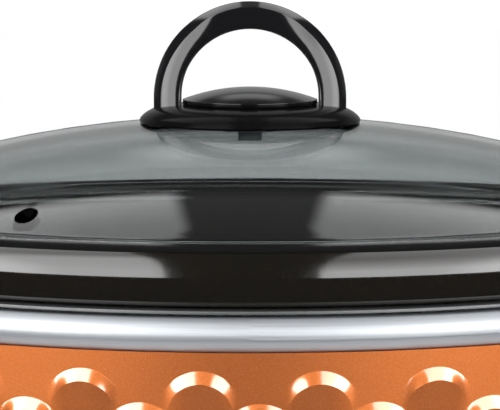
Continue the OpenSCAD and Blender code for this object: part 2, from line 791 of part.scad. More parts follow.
module lead_fused()
    color("#7a2a22") placed() lead([
        [fuse_offset + fuse_length / 2 + 5.6, 0, fuse_level], [78, 18, 34], [70, 60, 28],
        [40, 98, 30], [16, 115, 46], [9, post_y + 2, 70],
        [post_spacing / 2, post_end, post_level - post_diameter / 2 - lead_diameter / 2 - 4],
        [post_spacing / 2, post_end, post_level - post_diameter / 2 - 0.3]]);

module lead_neutral()
    color("#2a4c7a") placed() lead([
        [-block_bore_side, block_front, lead_low], [-block_bore_side, block_front - 6, lead_low],
        [-8, block_front - 11, lead_low], [-20, block_front - 15, lead_low],
        [-30, 88, 26], [-24, 106, 36], [-14, 115, 52], [-9, post_y + 2, 72],
        [-post_spacing / 2, post_end, post_level - post_diameter / 2 - lead_diameter / 2 - 4],
        [-post_spacing / 2, post_end, post_level - post_diameter / 2 - 0.3]]);

// ---- Crock ----

module crock()
    color("#231f1b") placed() {
        oval_sweep() crock_profile();
        oval_plate(crock_foot + crock_corner + seam / 2, crock_bottom, crock_wall);
        for (side = [-1, 1]) crock_lug(side);
    }

module crock_profile()
    difference() {
        union() {
            translate([-rim_inset - rim_shoulder, shoulder_level]) circle(r = rim_shoulder);
            translate([-crock_in, rim_bottom])
                square([crock_in - rim_inset - rim_corner, shoulder_level - rim_bottom]);
            translate([-crock_in, rim_bottom + rim_corner])
                square([crock_in - rim_inset, shoulder_level - rim_bottom - rim_corner]);
            translate([-rim_inset - rim_corner, rim_bottom + rim_corner]) circle(r = rim_corner);
            polygon([[-crock_out, shoulder_level], [-crock_foot, crock_corner_level],
                     [-crock_foot - crock_wall, crock_corner_level], [-crock_in, shoulder_level]]);
            translate([-crock_foot - crock_corner, crock_corner_level]) intersection() {
                difference() {
                    circle(r = crock_corner);
                    circle(r = crock_corner - crock_wall);
                }
                translate([0, -crock_corner]) square([crock_corner, crock_corner]);
            }
            translate([-crock_foot - crock_corner - seam, crock_bottom]) square([seam, crock_wall]);
            translate([-crock_in, shoulder_level - 1]) square([crock_in - rim_inset - rim_shoulder, 20]);
        }
        translate([-lid_inset + lid_play, ledge_level]) mirror([1, 0]) square([2 * crock_in, 40]);
    }

module crock_lug(side) {
    lug_x = half_length - rim_inset + lug_reach - lug_radius;
    lug_level = rim_bottom + (rim_height - lug_thickness) / 2;
    edge = lug_thickness / 2;
    difference() {
        translate([side * lug_x, 0, lug_level]) rotate_extrude() {
            square([lug_radius - edge, lug_thickness]);
            intersection() {
                translate([lug_radius - edge, edge]) circle(r = edge);
                square([lug_radius, lug_thickness]);
            }
        }
        oval_plate(rim_inset + rim_shoulder, lug_level - through, lug_thickness + 2 * through);
    }
}

// ---- Lid ----

// The ellipsoid of the dome, grown outward by grow
module dome_solid(grow)
    translate([0, 0, dome_level])
        scale([(dome_x + grow) / dome_curve, (dome_y + grow) / dome_curve, (dome_curve + grow) / dome_curve])
            sphere(r = dome_curve, $fn = large_fn);

module lid_glass()
    color("#9fb0ad", 0.45) placed() difference() {
        union() {
            intersection() {
                difference() {
                    dome_solid(0);
                    dome_solid(-glass_thickness);
                }
                oval_plate(dome_foot + 3, glass_bottom + 1, tall);
            }
            oval_sweep() {
                edge = glass_thickness / 2;
                translate([-lid_inset - lid_rim_width, glass_bottom])
                    square([lid_rim_width - edge, glass_thickness]);
                translate([-lid_inset - edge, glass_bottom + edge]) circle(r = edge);
            }
        }
        cylinder(r = handle_screw_diameter / 2 + 1, h = tall);
        translate([-vent_left, -vent_front, 0]) cylinder(r = vent_diameter / 2, h = tall);
    }

module base_outline() {
    edge = 0.8;
    polygon([[0, base_bottom], [base_radius, base_bottom], [base_radius, base_bottom + base_lip - edge],
             [base_radius - edge, base_bottom + base_lip], [pad_radius + 1.8, base_bottom + base_height],
             [0, base_bottom + base_height]]);
}

module handle_base()
    color("#151515") placed() difference() {
        rotate_extrude() base_outline();
        dome_solid(fit);
        translate([0, 0, base_bottom - through])
            cylinder(r = base_radius - gasket_edge, h = through + gasket_depth);
        cylinder(r = handle_screw_diameter / 2 + loose, h = tall);
    }

module handle_gasket()
    color("#5a5a58") placed() difference() {
        translate([0, 0, base_bottom - gasket_depth])
            cylinder(r = base_radius - gasket_edge - fit, h = 2 * gasket_depth - fit);
        dome_solid(fit);
        cylinder(r = handle_screw_diameter / 2 + 2 * loose, h = tall);
    }

module lid_handle()
    color("#101010") placed() difference() {
        union() {
            translate([0, 0, pad_bottom]) rotate_extrude() pad_outline();
            translate([0, 0, pad_bottom + arch_lift]) rotate([90, 0, 0])
                rotate_extrude(angle = 180) arch_section();
            for (side = [0, 1]) translate([0, 0, base_bottom + through]) mirror([side, 0, 0])
                linear_extrude(height = base_height + fit + arch_lift - through) arch_section();
        }
        translate([0, 0, fit]) rotate_extrude() base_outline();
        cylinder(r = handle_screw_diameter / 2 + fit, h = pad_bottom + pad_lip + pad_dome - 2);
    }

module pad_outline() {
    dome_r = (pow(pad_radius, 2) + pow(pad_dome, 2)) / (2 * pad_dome);
    square([pad_radius, pad_lip]);
    intersection() {
        translate([0, pad_lip + pad_dome - dome_r]) circle(r = dome_r);
        translate([0, pad_lip - 1]) square([pad_radius - 0.6, pad_dome + 2]);
    }
}

// Cross-section of the arch: flat at the front and back edge, round on both faces
module arch_section() {
    r = arch_thickness / 2;
    middle = arch_half_width + r;
    half = arch_depth / 2 - r;
    for (y = [-half, half]) translate([middle, y]) circle(r = r);
    translate([middle - r, -half]) square([arch_thickness, 2 * half]);
}

module handle_washer()
    color("#c3c6c9") placed() translate([0, 0, washer_top - washer_thickness])
        difference() {
            cylinder(r = washer_radius, h = washer_thickness);
            translate([0, 0, -through])
                cylinder(r = handle_screw_diameter / 2 + fit, h = washer_thickness + 2 * through);
        }

module handle_screw()
    color("#d0d3d6") placed() {
        head_top = washer_top - washer_thickness - fit;
        translate([0, 0, head_top - 3]) cylinder(r = handle_screw_diameter - 0.5, h = 3);
        translate([0, 0, head_top - 0.5])
            cylinder(r = handle_screw_diameter / 2, h = pad_bottom + pad_lip + pad_dome - 3 - head_top);
    }

outer_shell();
trim_ring();
inner_liner();
heating_band();
heater_terminals();
thermal_fuse();
fuse_clip();
liner_stud();
stud_washer();
stud_nut();
bottom_cover();
base_skirt();
foot(-1, -1);  // foot_front_left
foot(1, -1);  // foot_front_right
foot(-1, 1);  // foot_rear_left
foot(1, 1);  // foot_rear_right
foot_pad(-1, -1);  // pad_front_left
foot_pad(1, -1);  // pad_front_right
foot_pad(-1, 1);  // pad_rear_left
foot_pad(1, 1);  // pad_rear_right
foot_screws();
side_handle(-1);  // side_handle_left
side_handle(1);  // side_handle_right
side_handle_screws();
control_bezel();
rotary_switch();
switch_tabs();
switch_bracket();
switch_nut();
terminal_block();
lead_live();
lead_neutral();
lead_switched();
lead_fused();
cord_gland();
crock();
lid_glass();
lid_handle();
handle_base();
handle_gasket();
handle_washer();
handle_screw();
control_knob();
knob_pointer();
switch_shaft();
switch_cam();
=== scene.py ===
import json
import math

import bmesh
import bpy
import numpy as np
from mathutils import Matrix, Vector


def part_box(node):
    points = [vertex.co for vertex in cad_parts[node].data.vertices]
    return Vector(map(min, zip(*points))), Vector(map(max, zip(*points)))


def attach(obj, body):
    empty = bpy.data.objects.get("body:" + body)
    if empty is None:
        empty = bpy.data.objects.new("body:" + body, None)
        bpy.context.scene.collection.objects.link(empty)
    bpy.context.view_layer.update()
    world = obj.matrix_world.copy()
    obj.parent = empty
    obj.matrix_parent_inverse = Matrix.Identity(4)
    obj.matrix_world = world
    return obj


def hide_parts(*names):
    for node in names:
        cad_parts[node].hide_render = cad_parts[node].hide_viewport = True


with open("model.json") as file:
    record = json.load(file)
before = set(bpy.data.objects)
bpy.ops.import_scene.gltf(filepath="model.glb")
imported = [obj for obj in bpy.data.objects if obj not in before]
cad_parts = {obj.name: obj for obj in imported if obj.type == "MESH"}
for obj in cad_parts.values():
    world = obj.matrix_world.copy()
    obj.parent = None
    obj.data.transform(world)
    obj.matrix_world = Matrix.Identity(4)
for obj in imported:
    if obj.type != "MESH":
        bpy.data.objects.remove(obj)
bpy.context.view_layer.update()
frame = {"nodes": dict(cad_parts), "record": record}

MM = 0.001


def span(node):
    """Lowest and highest corner of a CAD node, in millimetres."""
    lo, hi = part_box(node)
    return [v / MM for v in lo], [v / MM for v in hi]


def mid(lo, hi, axis=2):
    """Halfway between two corners along an axis, by default in height."""
    return (lo[axis] + hi[axis]) / 2


def half_size(lo, hi, axis=0):
    return (hi[axis] - lo[axis]) / 2


# ---- Sizes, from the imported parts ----

shell_lo, shell_hi = span("outer_shell")
ring_lo, ring_hi = span("trim_ring")
liner_lo, liner_hi = span("inner_liner")
crock_lo, crock_hi = span("crock")
glass_lo, glass_hi = span("lid_glass")
base_lo, base_hi = span("handle_base")
grip_top = span("lid_handle")[1][2]
skirt_lo, skirt_hi = span("base_skirt")
bezel_lo, bezel_hi = span("control_bezel")
knob_lo, knob_hi = span("control_knob")
side_lo, side_hi = span("side_handle_right")

# The shell's oval is drawn from four arcs, whose centres lie on right triangles with sides
# of 8, 15 and 17 units
half_length = round(half_size(shell_lo, shell_hi), 1)
half_depth = round(half_size(shell_lo, shell_hi, 1), 1)
centre_y = mid(shell_lo, shell_hi, 1)
LEG_X, LEG_Y, SLOPE = 8, 15, 17
SIDE_HALF = math.atan2(LEG_X, LEG_Y)   # half the angle of the front and back arcs
unit = (half_length - half_depth) / (LEG_X + LEG_Y - SLOPE)
end_cx = LEG_X * unit
side_cy = LEG_Y * unit
end_r = half_length - end_cx
side_r = half_depth + side_cy

seat_gap = 0.3             # between pieces that stand on each other
bead_r = half_size(ring_lo, ring_hi, 2)
bead_z = mid(ring_lo, ring_hi)
bead_out = half_size(ring_lo, ring_hi) - half_length
rim_inset = 6.0            # of the crock's outer face, from the shell's oval
rim_top = crock_hi[2]
flange_top = liner_hi[2]
rim_bottom = flange_top + seat_gap
glass_bottom = glass_lo[2]
glass_wall = 4.0
glass_top = glass_bottom + glass_wall
dome_top = glass_hi[2] + 0.01
pad_bottom = base_hi[2] + 0.1
wrap_wall = 0.8
plate_half = 46.0          # the side handles' plates, along the shell


# ---- The four-arc outline ----

def outline(count):
    """Evenly spaced samples round the oval, from the front's middle to the right: arc
    centre, outward direction, radius and distance. Then the distances with the full turn."""
    quarter_side = SIDE_HALF * side_r
    end_arc = (math.pi - 2 * SIDE_HALF) * end_r
    total = 4 * quarter_side + 2 * end_arc
    down = -math.pi / 2
    arcs = [(0, side_cy, side_r, down, quarter_side),
            (end_cx, 0, end_r, down + SIDE_HALF, end_arc),
            (0, -side_cy, side_r, math.pi / 2 - SIDE_HALF, 2 * quarter_side),
            (-end_cx, 0, end_r, math.pi / 2 + SIDE_HALF, end_arc),
            (0, side_cy, side_r, down - SIDE_HALF, quarter_side)]
    rows = []
    for i in range(count):
        s = total * i / count
        left = s
        for cx, cy, radius, start, length in arcs:
            if left <= length:
                angle = start + left / radius
                rows.append((cx, cy, math.cos(angle), math.sin(angle), radius, s))
                break
            left -= length
    rows = np.array(rows)
    return rows, np.append(rows[:, 5], total)


def offset_points(samples, offsets, z):
    """Points at the given outward offsets and heights, arrays that broadcast to
    (samples, profile)."""
    cx, cy, dx, dy, radius, _ = (samples[:, k:k + 1] for k in range(6))
    reach = radius + offsets
    x = cx + dx * reach
    y = cy + dy * reach + centre_y
    return np.stack([x, y, np.broadcast_to(z, x.shape)], axis=-1)


def oval_line(samples, offset, z=0.0):
    """One line of points round the oval."""
    return offset_points(samples, np.full((1, 1), offset), np.full((1, 1), z))[:, 0]


# ---- Mesh building ----

def weld(mesh):
    """Joins doubled points, closes open ends and turns every face outward."""
    work = bmesh.new()
    work.from_mesh(mesh)
    bmesh.ops.remove_doubles(work, verts=work.verts, dist=0.002 * MM)
    rims = [e for e in work.edges if e.is_boundary]
    if rims:
        bmesh.ops.holes_fill(work, edges=rims, sides=0)
    bmesh.ops.delete(work, geom=[e for e in work.edges if e.is_wire], context="EDGES")
    bmesh.ops.recalc_face_normals(work, faces=work.faces)
    work.to_mesh(mesh)
    work.free()


def add_object(name, data):
    obj = bpy.data.objects.new(name, data)
    bpy.context.scene.collection.objects.link(obj)
    return obj


def new_object(name, points, faces, sharp=40, uv=None):
    """A smooth object from points in millimetres, sharp above an angle in degrees."""
    mesh = bpy.data.meshes.new(name)
    mesh.from_pydata((np.asarray(points, float) * MM).tolist(), [], faces)
    mesh.update()
    if uv is not None:
        layer = mesh.uv_layers.new(name="wrap")
        layer.data.foreach_set("uv", np.asarray(uv, np.float32).ravel())
    weld(mesh)
    mesh.shade_smooth()
    mesh.set_sharp_from_angle(angle=math.radians(sharp))
    return add_object(name, mesh)


def grid_faces(ni, nj, wrap_i, wrap_j):
    """The quads of a grid of points, and the steps i, j of each quad's four corners."""
    i = np.arange(ni if wrap_i else ni - 1)
    j = np.arange(nj if wrap_j else nj - 1)
    i, j = (a.ravel() for a in np.meshgrid(i, j, indexing="ij"))
    i2, j2 = (i + 1) % ni, (j + 1) % nj
    quads = np.stack([i * nj + j, i2 * nj + j, i2 * nj + j2, i * nj + j2], axis=1)
    steps = np.stack([i, j, i + 1, j, i + 1, j + 1, i, j + 1], axis=1)
    return quads, steps


def grid_object(name, points, wrap_i=True, wrap_j=True, sharp=40, caps=(), u=None):
    """A mesh from points (ni, nj, 3); caps lists the rows of j that are closed with a
    flat face, as (j, facing up), and u gives the places along i for the UV map."""
    ni, nj = points.shape[:2]
    quads, steps = grid_faces(ni, nj, wrap_i, wrap_j)
    faces = quads.tolist()
    along = np.arange(ni + 1.0) if u is None else np.asarray(u, float)
    closed = np.concatenate([points[0], points[0, :1]])
    pieces = np.linalg.norm(np.diff(closed, axis=0), axis=1)
    walk = np.concatenate([[0], np.cumsum(pieces)])
    uv = np.stack([along[steps[:, 0::2]] * MM, walk[steps[:, 1::2]] * MM], axis=-1)
    uv = uv.reshape(-1, 2)
    for j, up in caps:
        loop = [i * nj + j for i in range(ni)]
        faces.append(loop if up else loop[::-1])
    uv = np.concatenate([uv, np.zeros((ni * len(caps), 2))])
    return new_object(name, points.reshape(-1, 3), faces, sharp, uv)


def sweep(name, profile, count=480):
    """Sweeps a closed counter-clockwise profile of (offset, height) round the oval."""
    samples, around = outline(count)
    profile = np.asarray(profile, float)
    points = offset_points(samples, profile[None, :, 0], profile[None, :, 1])
    return grid_object(name, points, u=around)


def lathe(name, profile, centre, count, sharp=40, wrap_j=False, axis="Z", caps=()):
    """Turns a profile of (radius, height) about a vertical axis, or about one along Y."""
    profile = np.asarray(profile, float)
    angle = np.arange(count) * 2 * math.pi / count
    x = np.cos(angle)[:, None] * profile[None, :, 0]
    y = np.sin(angle)[:, None] * profile[None, :, 0]
    z = np.broadcast_to(profile[None, :, 1], x.shape)
    if axis == "Z":
        points = np.stack([x + centre[0], y + centre[1], z], axis=-1)
    else:
        points = np.stack([x + centre[0], -z, y + centre[1]], axis=-1)
    around = np.arange(count + 1) * 2 * math.pi / count * profile[:, 0].max()
    return grid_object(name, points, True, wrap_j, sharp, caps, around)


def arc(cx, cy, r, start, end, steps):
    """Points on an arc, with angles in degrees."""
    return [(cx + r * math.cos(math.radians(a)), cy + r * math.sin(math.radians(a)))
            for a in np.linspace(start, end, steps + 1)]


def boxy(value, power):
    """A cosine or sine pushed outward, so that a circle turns into a rounded square."""
    return math.copysign(abs(value) ** power, value)


def finish_piece(obj, body, slot, *nodes, look=None):
    """Gives a piece its look, which is its slot's unless named, and its body, and hides the CAD
    nodes it stands in for.
    """
    obj.data.materials.clear()
    obj.data.materials.append(looks[look or slot])
    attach(obj, body)
    if nodes:
        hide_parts(*nodes)


# ---- Materials ----

def set_input(tree, socket, value):
    """Links a socket to another node's output, or gives it a value."""
    if isinstance(value, bpy.types.NodeSocket):
        tree.links.new(value, socket)
    else:
        socket.default_value = value


def add_node(tree, kind, *values, settings=(), **named):
    """A shader node with its settings, and its inputs in their order or by name."""
    made = tree.nodes.new("ShaderNode" + kind)
    for key, value in dict(settings).items():
        setattr(made, key, value)
    for i, value in enumerate(values):
        set_input(tree, made.inputs[i], value)
    for key, value in named.items():
        set_input(tree, made.inputs[key.replace("_", " ")], value)
    return made


class Look:
    """A node material around one Principled shader, whose sockets are given by name."""

    def __init__(self, name, **sockets):
        self.material = bpy.data.materials.new(name)
        self.material.use_nodes = True
        self.tree = self.material.node_tree
        self.shader = self.tree.nodes["Principled BSDF"]
        for socket, value in sockets.items():
            self.shader.inputs[socket.replace("_", " ")].default_value = value
        self.coords = self.tree.nodes.new("ShaderNodeTexCoord")

    def node(self, kind, *values, **named):
        return add_node(self.tree, kind, *values, **named)

    def place(self, scale=(1, 1, 1), source="Object"):
        """Coordinates stretched by scale, per metre."""
        return self.node("Mapping", Vector=self.coords.outputs[source], Scale=scale).outputs[0]

    def noise(self, scale, detail=3.0, stretch=(1, 1, 1), rough=0.5, source="Object"):
        return self.node("TexNoise", Vector=self.place(stretch, source), Scale=scale,
                         Detail=detail, Roughness=rough).outputs["Fac"]

    def ramp(self, value, stops):
        """Colours by value, from stops of (place, colour)."""
        made = self.node("ValToRGB", Fac=value)
        ramp = made.color_ramp
        while len(ramp.elements) < len(stops):
            ramp.elements.new(0.5)
        for element, (place, colour) in zip(ramp.elements, stops):
            element.position = place
            element.color = (*colour, 1)
        return made.outputs["Color"]

    def spread(self, value, low, high, start=0.3, end=0.7):
        """Maps a value that runs from start to end to one from low to high."""
        return self.node("MapRange", value, start, end, low, high).outputs[0]

    def mix(self, factor, a, b):
        made = self.node("Mix", factor, settings={"data_type": "RGBA"})
        for key, value in ((6, a), (7, b)):
            value = (*value, 1) if isinstance(value, tuple) else value
            set_input(self.tree, made.inputs[key], value)
        return made.outputs[2]

    def bump(self, height, distance, strength=1.0, below=None):
        made = self.node("Bump", Height=height, Distance=distance, Strength=strength)
        if below is not None:
            self.tree.links.new(below, made.inputs["Normal"])
        return made.outputs[0]

    def feed(self, **sockets):
        """Links values to the shader's sockets and returns the finished material."""
        for socket, value in sockets.items():
            self.tree.links.new(value, self.shader.inputs[socket.replace("_", " ")])
        return self.material


def copper_look():
    """Copper paint under a strong clear coat, with fine metal flakes."""
    look = Look("copper_paint", Metallic=0.88, Coat_Weight=1.0, Coat_Roughness=0.13,
                Coat_IOR=2.6)
    grain = look.noise(2300.0, 2.0)
    broad = look.noise(14.0, 3.0)
    tone = look.ramp(grain, [(0.30, (0.84, 0.205, 0.034)), (0.52, (0.93, 0.245, 0.044)),
                             (0.74, (0.98, 0.292, 0.062))])
    tone = look.mix(look.spread(broad, 0.0, 0.25), tone, (0.85, 0.210, 0.036))
    flake = look.node("TexVoronoi", Vector=look.place(), Scale=2600.0).outputs["Color"]
    glint = look.node("SeparateColor", Color=flake).outputs[0]
    tone = look.mix(look.spread(glint, 0.0, 0.14, 0.90, 0.99), tone, (1.0, 0.60, 0.36))
    rough = look.spread(grain, 0.40, 0.46)
    return look.feed(Base_Color=tone, Roughness=rough, Normal=look.bump(grain, 0.00001, 0.3))


def steel_look(name, colour, rough, streaks=True, source="UV", scale=(3.0, 1400.0, 1.0)):
    """Metal, brushed along its sweep, or grained alike all round without streaks."""
    look = Look(name, Metallic=1.0)
    streak = look.noise(1.0, 4.0, scale, 0.6, source)
    broad = look.noise(30.0, 2.0)
    pale = tuple(min(1.0, c * 1.12) for c in colour)
    dark = tuple(c * 0.80 for c in colour)
    tone = look.ramp(streak, [(0.28, dark), (0.5, colour), (0.75, pale)])
    tone = look.mix(look.spread(broad, 0.0, 0.25), tone, dark)
    roughness = look.spread(streak, rough * 0.8, rough * 1.25)
    return look.feed(Base_Color=tone, Roughness=roughness,
                     Normal=look.bump(streak, 0.00003 if streaks else 0.00001, 0.6))


def glaze_look():
    """Speckled black glaze with a slight ripple."""
    look = Look("stoneware", Coat_Weight=1.0, Coat_Roughness=0.03, IOR=1.5)
    fine = look.noise(1900.0, 4.0, rough=0.65)
    cloud = look.noise(60.0, 4.0)
    tone = look.ramp(fine, [(0.36, (0.004, 0.003, 0.002)), (0.56, (0.009, 0.007, 0.004)),
                            (0.68, (0.022, 0.017, 0.010)), (0.80, (0.060, 0.046, 0.030))])
    tone = look.mix(look.spread(cloud, 0.0, 0.5), tone, (0.006, 0.005, 0.004))
    ripple = look.bump(look.noise(120.0, 2.0), 0.00012, 0.35)
    normal = look.bump(fine, 0.00002, 0.3, ripple)
    return look.feed(Base_Color=tone, Roughness=look.spread(fine, 0.07, 0.14), Normal=normal)


def glass_look():
    look = Look("tempered_glass", IOR=1.5, Transmission_Weight=1.0)
    drift = look.noise(8.0, 2.0)
    tone = look.ramp(drift, [(0.3, (0.605, 0.64, 0.64)), (0.7, (0.64, 0.67, 0.67))])
    smear = look.noise(40.0, 3.0)
    ripple = look.bump(look.noise(16.0, 1.0), 0.0004, 0.12)
    return look.feed(Base_Color=tone, Roughness=look.spread(smear, 0.0, 0.03), Normal=ripple)


def moulded_look(name, colour, rough, grain, depth, coat=0.0, ior=1.5):
    """Moulded plastic or rubber, with a fine surface grain."""
    look = Look(name, Coat_Weight=coat, Coat_Roughness=0.04, IOR=ior)
    fine = look.noise(grain, 3.0)
    broad = look.noise(25.0, 3.0)
    pale = tuple(c * 1.35 + 0.002 for c in colour)
    tone = look.ramp(fine, [(0.3, colour), (0.8, pale)])
    tone = look.mix(look.spread(broad, 0.0, 0.35), tone, tuple(c * 0.8 for c in colour))
    return look.feed(Base_Color=tone, Roughness=look.spread(broad, rough * 0.85, rough * 1.15),
                     Normal=look.bump(fine, depth, 0.6))


def band_look():
    look = Look("heater_foil", Metallic=1.0)
    crumple = look.node("TexVoronoi", settings={"feature": "DISTANCE_TO_EDGE"},
                        Vector=look.place(), Scale=90.0).outputs["Distance"]
    tone = look.ramp(crumple, [(0.0, (0.42, 0.38, 0.28)), (0.4, (0.66, 0.62, 0.50))])
    return look.feed(Base_Color=tone, Roughness=look.spread(crumple, 0.25, 0.45, 0.0, 0.4),
                     Normal=look.bump(crumple, 0.0006, 0.5))


def sleeve_look():
    look = Look("fuse_sleeve", Roughness=0.8)
    weave = look.node("TexWave", settings={"bands_direction": "DIAGONAL"},
                      Vector=look.place(), Scale=1200.0, Distortion=1.0).outputs["Fac"]
    tone = look.ramp(weave, [(0.2, (0.52, 0.42, 0.26)), (0.8, (0.72, 0.62, 0.42))])
    return look.feed(Base_Color=tone, Normal=look.bump(weave, 0.0002, 0.6))


# Colour, roughness, grain per metre and its depth; then clear coat and index of refraction
MOULDED = {
    "gloss_black": ((0.006, 0.006, 0.007), 0.10, 700.0, 0.00001, 0.4),
    "bell_black": ((0.005, 0.005, 0.005), 0.16, 700.0, 0.00001, 0.0, 1.1),
    # painted shade: opaque near-black in place of the clear glass's upright edge
    "painted_dark_glass_edge": ((0.008, 0.009, 0.008), 0.12, 900.0, 0.00001),
    "matt_black": ((0.016, 0.016, 0.017), 0.48, 2200.0, 0.00008),
    "switch_black": ((0.035, 0.035, 0.037), 0.40, 1500.0, 0.00004),
    "rubber_black": ((0.022, 0.022, 0.022), 0.75, 1200.0, 0.0001),
    "silicone_grey": ((0.11, 0.11, 0.105), 0.55, 900.0, 0.00005),
    "white_mark": ((0.78, 0.78, 0.75), 0.40, 1500.0, 0.00002),
    "ivory_moulding": ((0.66, 0.62, 0.52), 0.42, 900.0, 0.00004),
    "lead_brown": ((0.085, 0.032, 0.012), 0.45, 900.0, 0.00003),
    "lead_blue": ((0.012, 0.045, 0.21), 0.45, 900.0, 0.00003),
    "lead_red": ((0.23, 0.012, 0.010), 0.45, 900.0, 0.00003),
}
# Colour and roughness; then streaks, and how the grain is mapped
METALS = {
    "stainless": ((0.54, 0.565, 0.595), 0.50),
    "liner_metal": ((0.30, 0.305, 0.31), 0.40),
    "zinc_steel": ((0.55, 0.57, 0.60), 0.32, False, "Object", (180.0, 180.0, 180.0)),
    "brass": ((0.72, 0.52, 0.20), 0.28, False, "Object", (400.0, 400.0, 40.0)),
}
looks = {"copper_paint": copper_look(), "stoneware": glaze_look(), "heater_foil": band_look(),
         "tempered_glass": glass_look(), "fuse_sleeve": sleeve_look()}
looks.update({name: moulded_look(name, *facts) for name, facts in MOULDED.items()})
looks.update({name: steel_look(name, *facts) for name, facts in METALS.items()})

# Every CAD part takes its slot's finish
for part in frame["record"]["subparts"]:
    node = frame["nodes"][part["node"]]
    node.data.materials.clear()
    node.data.materials.append(looks[part["material_slot"]])


# ---- Embossed shell ----

SCALLOPS = 25              # round the shell, in each row
ROWS = 11
ROW_STEP = 10.6
COLUMNS = 48               # mesh columns for each scallop
first_apex = shell_hi[2] - 6.0
arc_out = 13.7             # radius of a scallop's outer edge
arc_in = 10.7              # radius of its inner edge, whose centre lies lower
arc_drop = 1.0
relief = 1.9
face_end = 5.0             # below the centre, where the scale's face meets the ground
face_top = arc_out - arc_drop - 3      # above it, where the face is at its full height
fade = (3.5, 13.0)         # beside the centre, where a scale starts to sink and is gone
turned = 3.3               # how far the pattern is turned along the shell
sag_reach = arc_out * math.sin(math.radians(58))       # beside an apex; level farther out
BEVEL_LINES = (0, 0.08, 0.3, 0.55, 0.8, 0.97)          # mesh lines, as shares of the bevel
FACE_LINES = (0, 0.06, 0.2, 0.45, 0.7, 0.9)            # and of the face below it
least_share = 0.10         # of a row's height, for the bevel and for the face
FAR = 999                  # for places that a flat spot can't reach
bezel_spot = (31, 34)      # radii between which the scales grow: round the bezel's centre
gland_spot = (11, 14)      # and round the gland's
plate_spot = (1.5, 4.5)    # and the same beyond the edge of a side handle's plate


def smooth_step(value, low, high):
    t = np.clip((value - low) / (high - low), 0, 1)
    return t * t * (3 - 2 * t)


def scallop_height(ds, dz):
    """Height of one scale at a place relative to its outer circle's centre."""
    out = np.hypot(ds, dz)
    inn = np.hypot(ds, dz + arc_drop)
    rise = np.clip(arc_out - out, 0, None)
    rest = np.clip(inn - arc_in, 0, None)
    bevel = np.where(rise > 0, rise / np.maximum(rise + rest, 1e-6), 0)
    face = np.clip((dz + face_end) / (face_top + face_end), 0, 1)
    return relief * bevel * face * (1 - smooth_step(np.abs(ds), *fade))


def keep_flat(points):
    """1 where the scales stand, 0 under the bezel, the handle plates and the gland."""
    x, y, z = points[..., 0], points[..., 1] - centre_y, points[..., 2]
    bezel = np.where(y < 0, np.hypot(x, z - mid(bezel_lo, bezel_hi)), FAR)
    gland = np.where(y > 0, np.hypot(x, z - mid(*span("cord_gland"))), FAR)
    plate = np.maximum(np.abs(y) - plate_half,
                       np.abs(z - mid(side_lo, side_hi)) - half_size(side_lo, side_hi, 2))
    plate = np.where(np.abs(x) > end_cx + 0.6 * end_r, plate, FAR)
    return (smooth_step(bezel, *bezel_spot) * smooth_step(gland, *gland_spot)
            * smooth_step(plate, *plate_spot))


def shell():
    """The sheet round the base; its mesh lines follow the edges of the scallops."""
    samples, around = outline(SCALLOPS * COLUMNS)
    pitch = around[-1] / SCALLOPS
    s = samples[:, 5:6] - turned

    def beside(row):
        """How far each column lies beside the nearest apex of a row."""
        return (s - pitch / 2 * ((row + 1) % 2) + pitch / 2) % pitch - pitch / 2

    def warp(row):
        """How far the mesh line through a row's apexes sags beside each apex."""
        ds = np.minimum(np.abs(beside(row)), sag_reach)
        return np.sqrt(arc_out ** 2 - ds ** 2) - arc_out

    def inner_line(row):
        """How far the inner edge of a row's scallops lies below its apexes."""
        ds = np.minimum(np.abs(beside(row)), 0.99 * arc_in)
        return np.sqrt(arc_in ** 2 - ds ** 2) - arc_drop - arc_out

    lines = [np.full_like(s, shell_hi[2]), np.full_like(s, shell_hi[2] - 2.4)]
    # Two lines close above the first row keep the shading of the plain band even
    lines += [first_apex + warp(0) + gap for gap in (0.6, 0.12)]
    for row in range(ROWS):
        apex = first_apex - row * ROW_STEP
        top = apex + warp(row)
        low = apex - ROW_STEP + warp(row + 1)
        least = least_share * (top - low)
        middle = np.clip(apex + inner_line(row), low + least, top - least)
        lines += [top + (middle - top) * t for t in BEVEL_LINES]
        lines += [middle + (low - middle) * t for t in FACE_LINES]
    last = first_apex - ROWS * ROW_STEP + warp(ROWS)
    lines += [last + (shell_lo[2] - last) * t for t in np.linspace(0, 1, 12)]
    z = np.concatenate(lines[::-1], axis=1)

    height = np.zeros_like(z)
    for row in range(ROWS):
        dz = z - (first_apex - row * ROW_STEP - arc_out)
        height = np.maximum(height, scallop_height(beside(row), dz))
    height *= keep_flat(offset_points(samples, np.zeros_like(z), z))
    outer = offset_points(samples, height, z)
    inner_z = np.linspace(shell_hi[2], shell_lo[2], 6)[None, :]
    inner = offset_points(samples, np.full((1, 6), -wrap_wall), inner_z)
    points = np.concatenate([outer, inner], axis=1)
    return grid_object("shell_wrap", points, sharp=13, u=around)


finish_piece(shell(), "base", "copper_paint", "outer_shell")


# ---- Ring and liner ----

bead_c = bead_out - bead_r
bead_wall = 1.2
bead_end = 170             # degrees from outward, where the rolled sheet ends
ring_profile = (arc(bead_c, bead_z, bead_r, -bead_end, bead_end, 56)
                + arc(bead_c, bead_z, bead_r - bead_wall, bead_end, -bead_end, 40))
finish_piece(sweep("ring_bead", ring_profile, 640), "base", "stainless", "trim_ring")

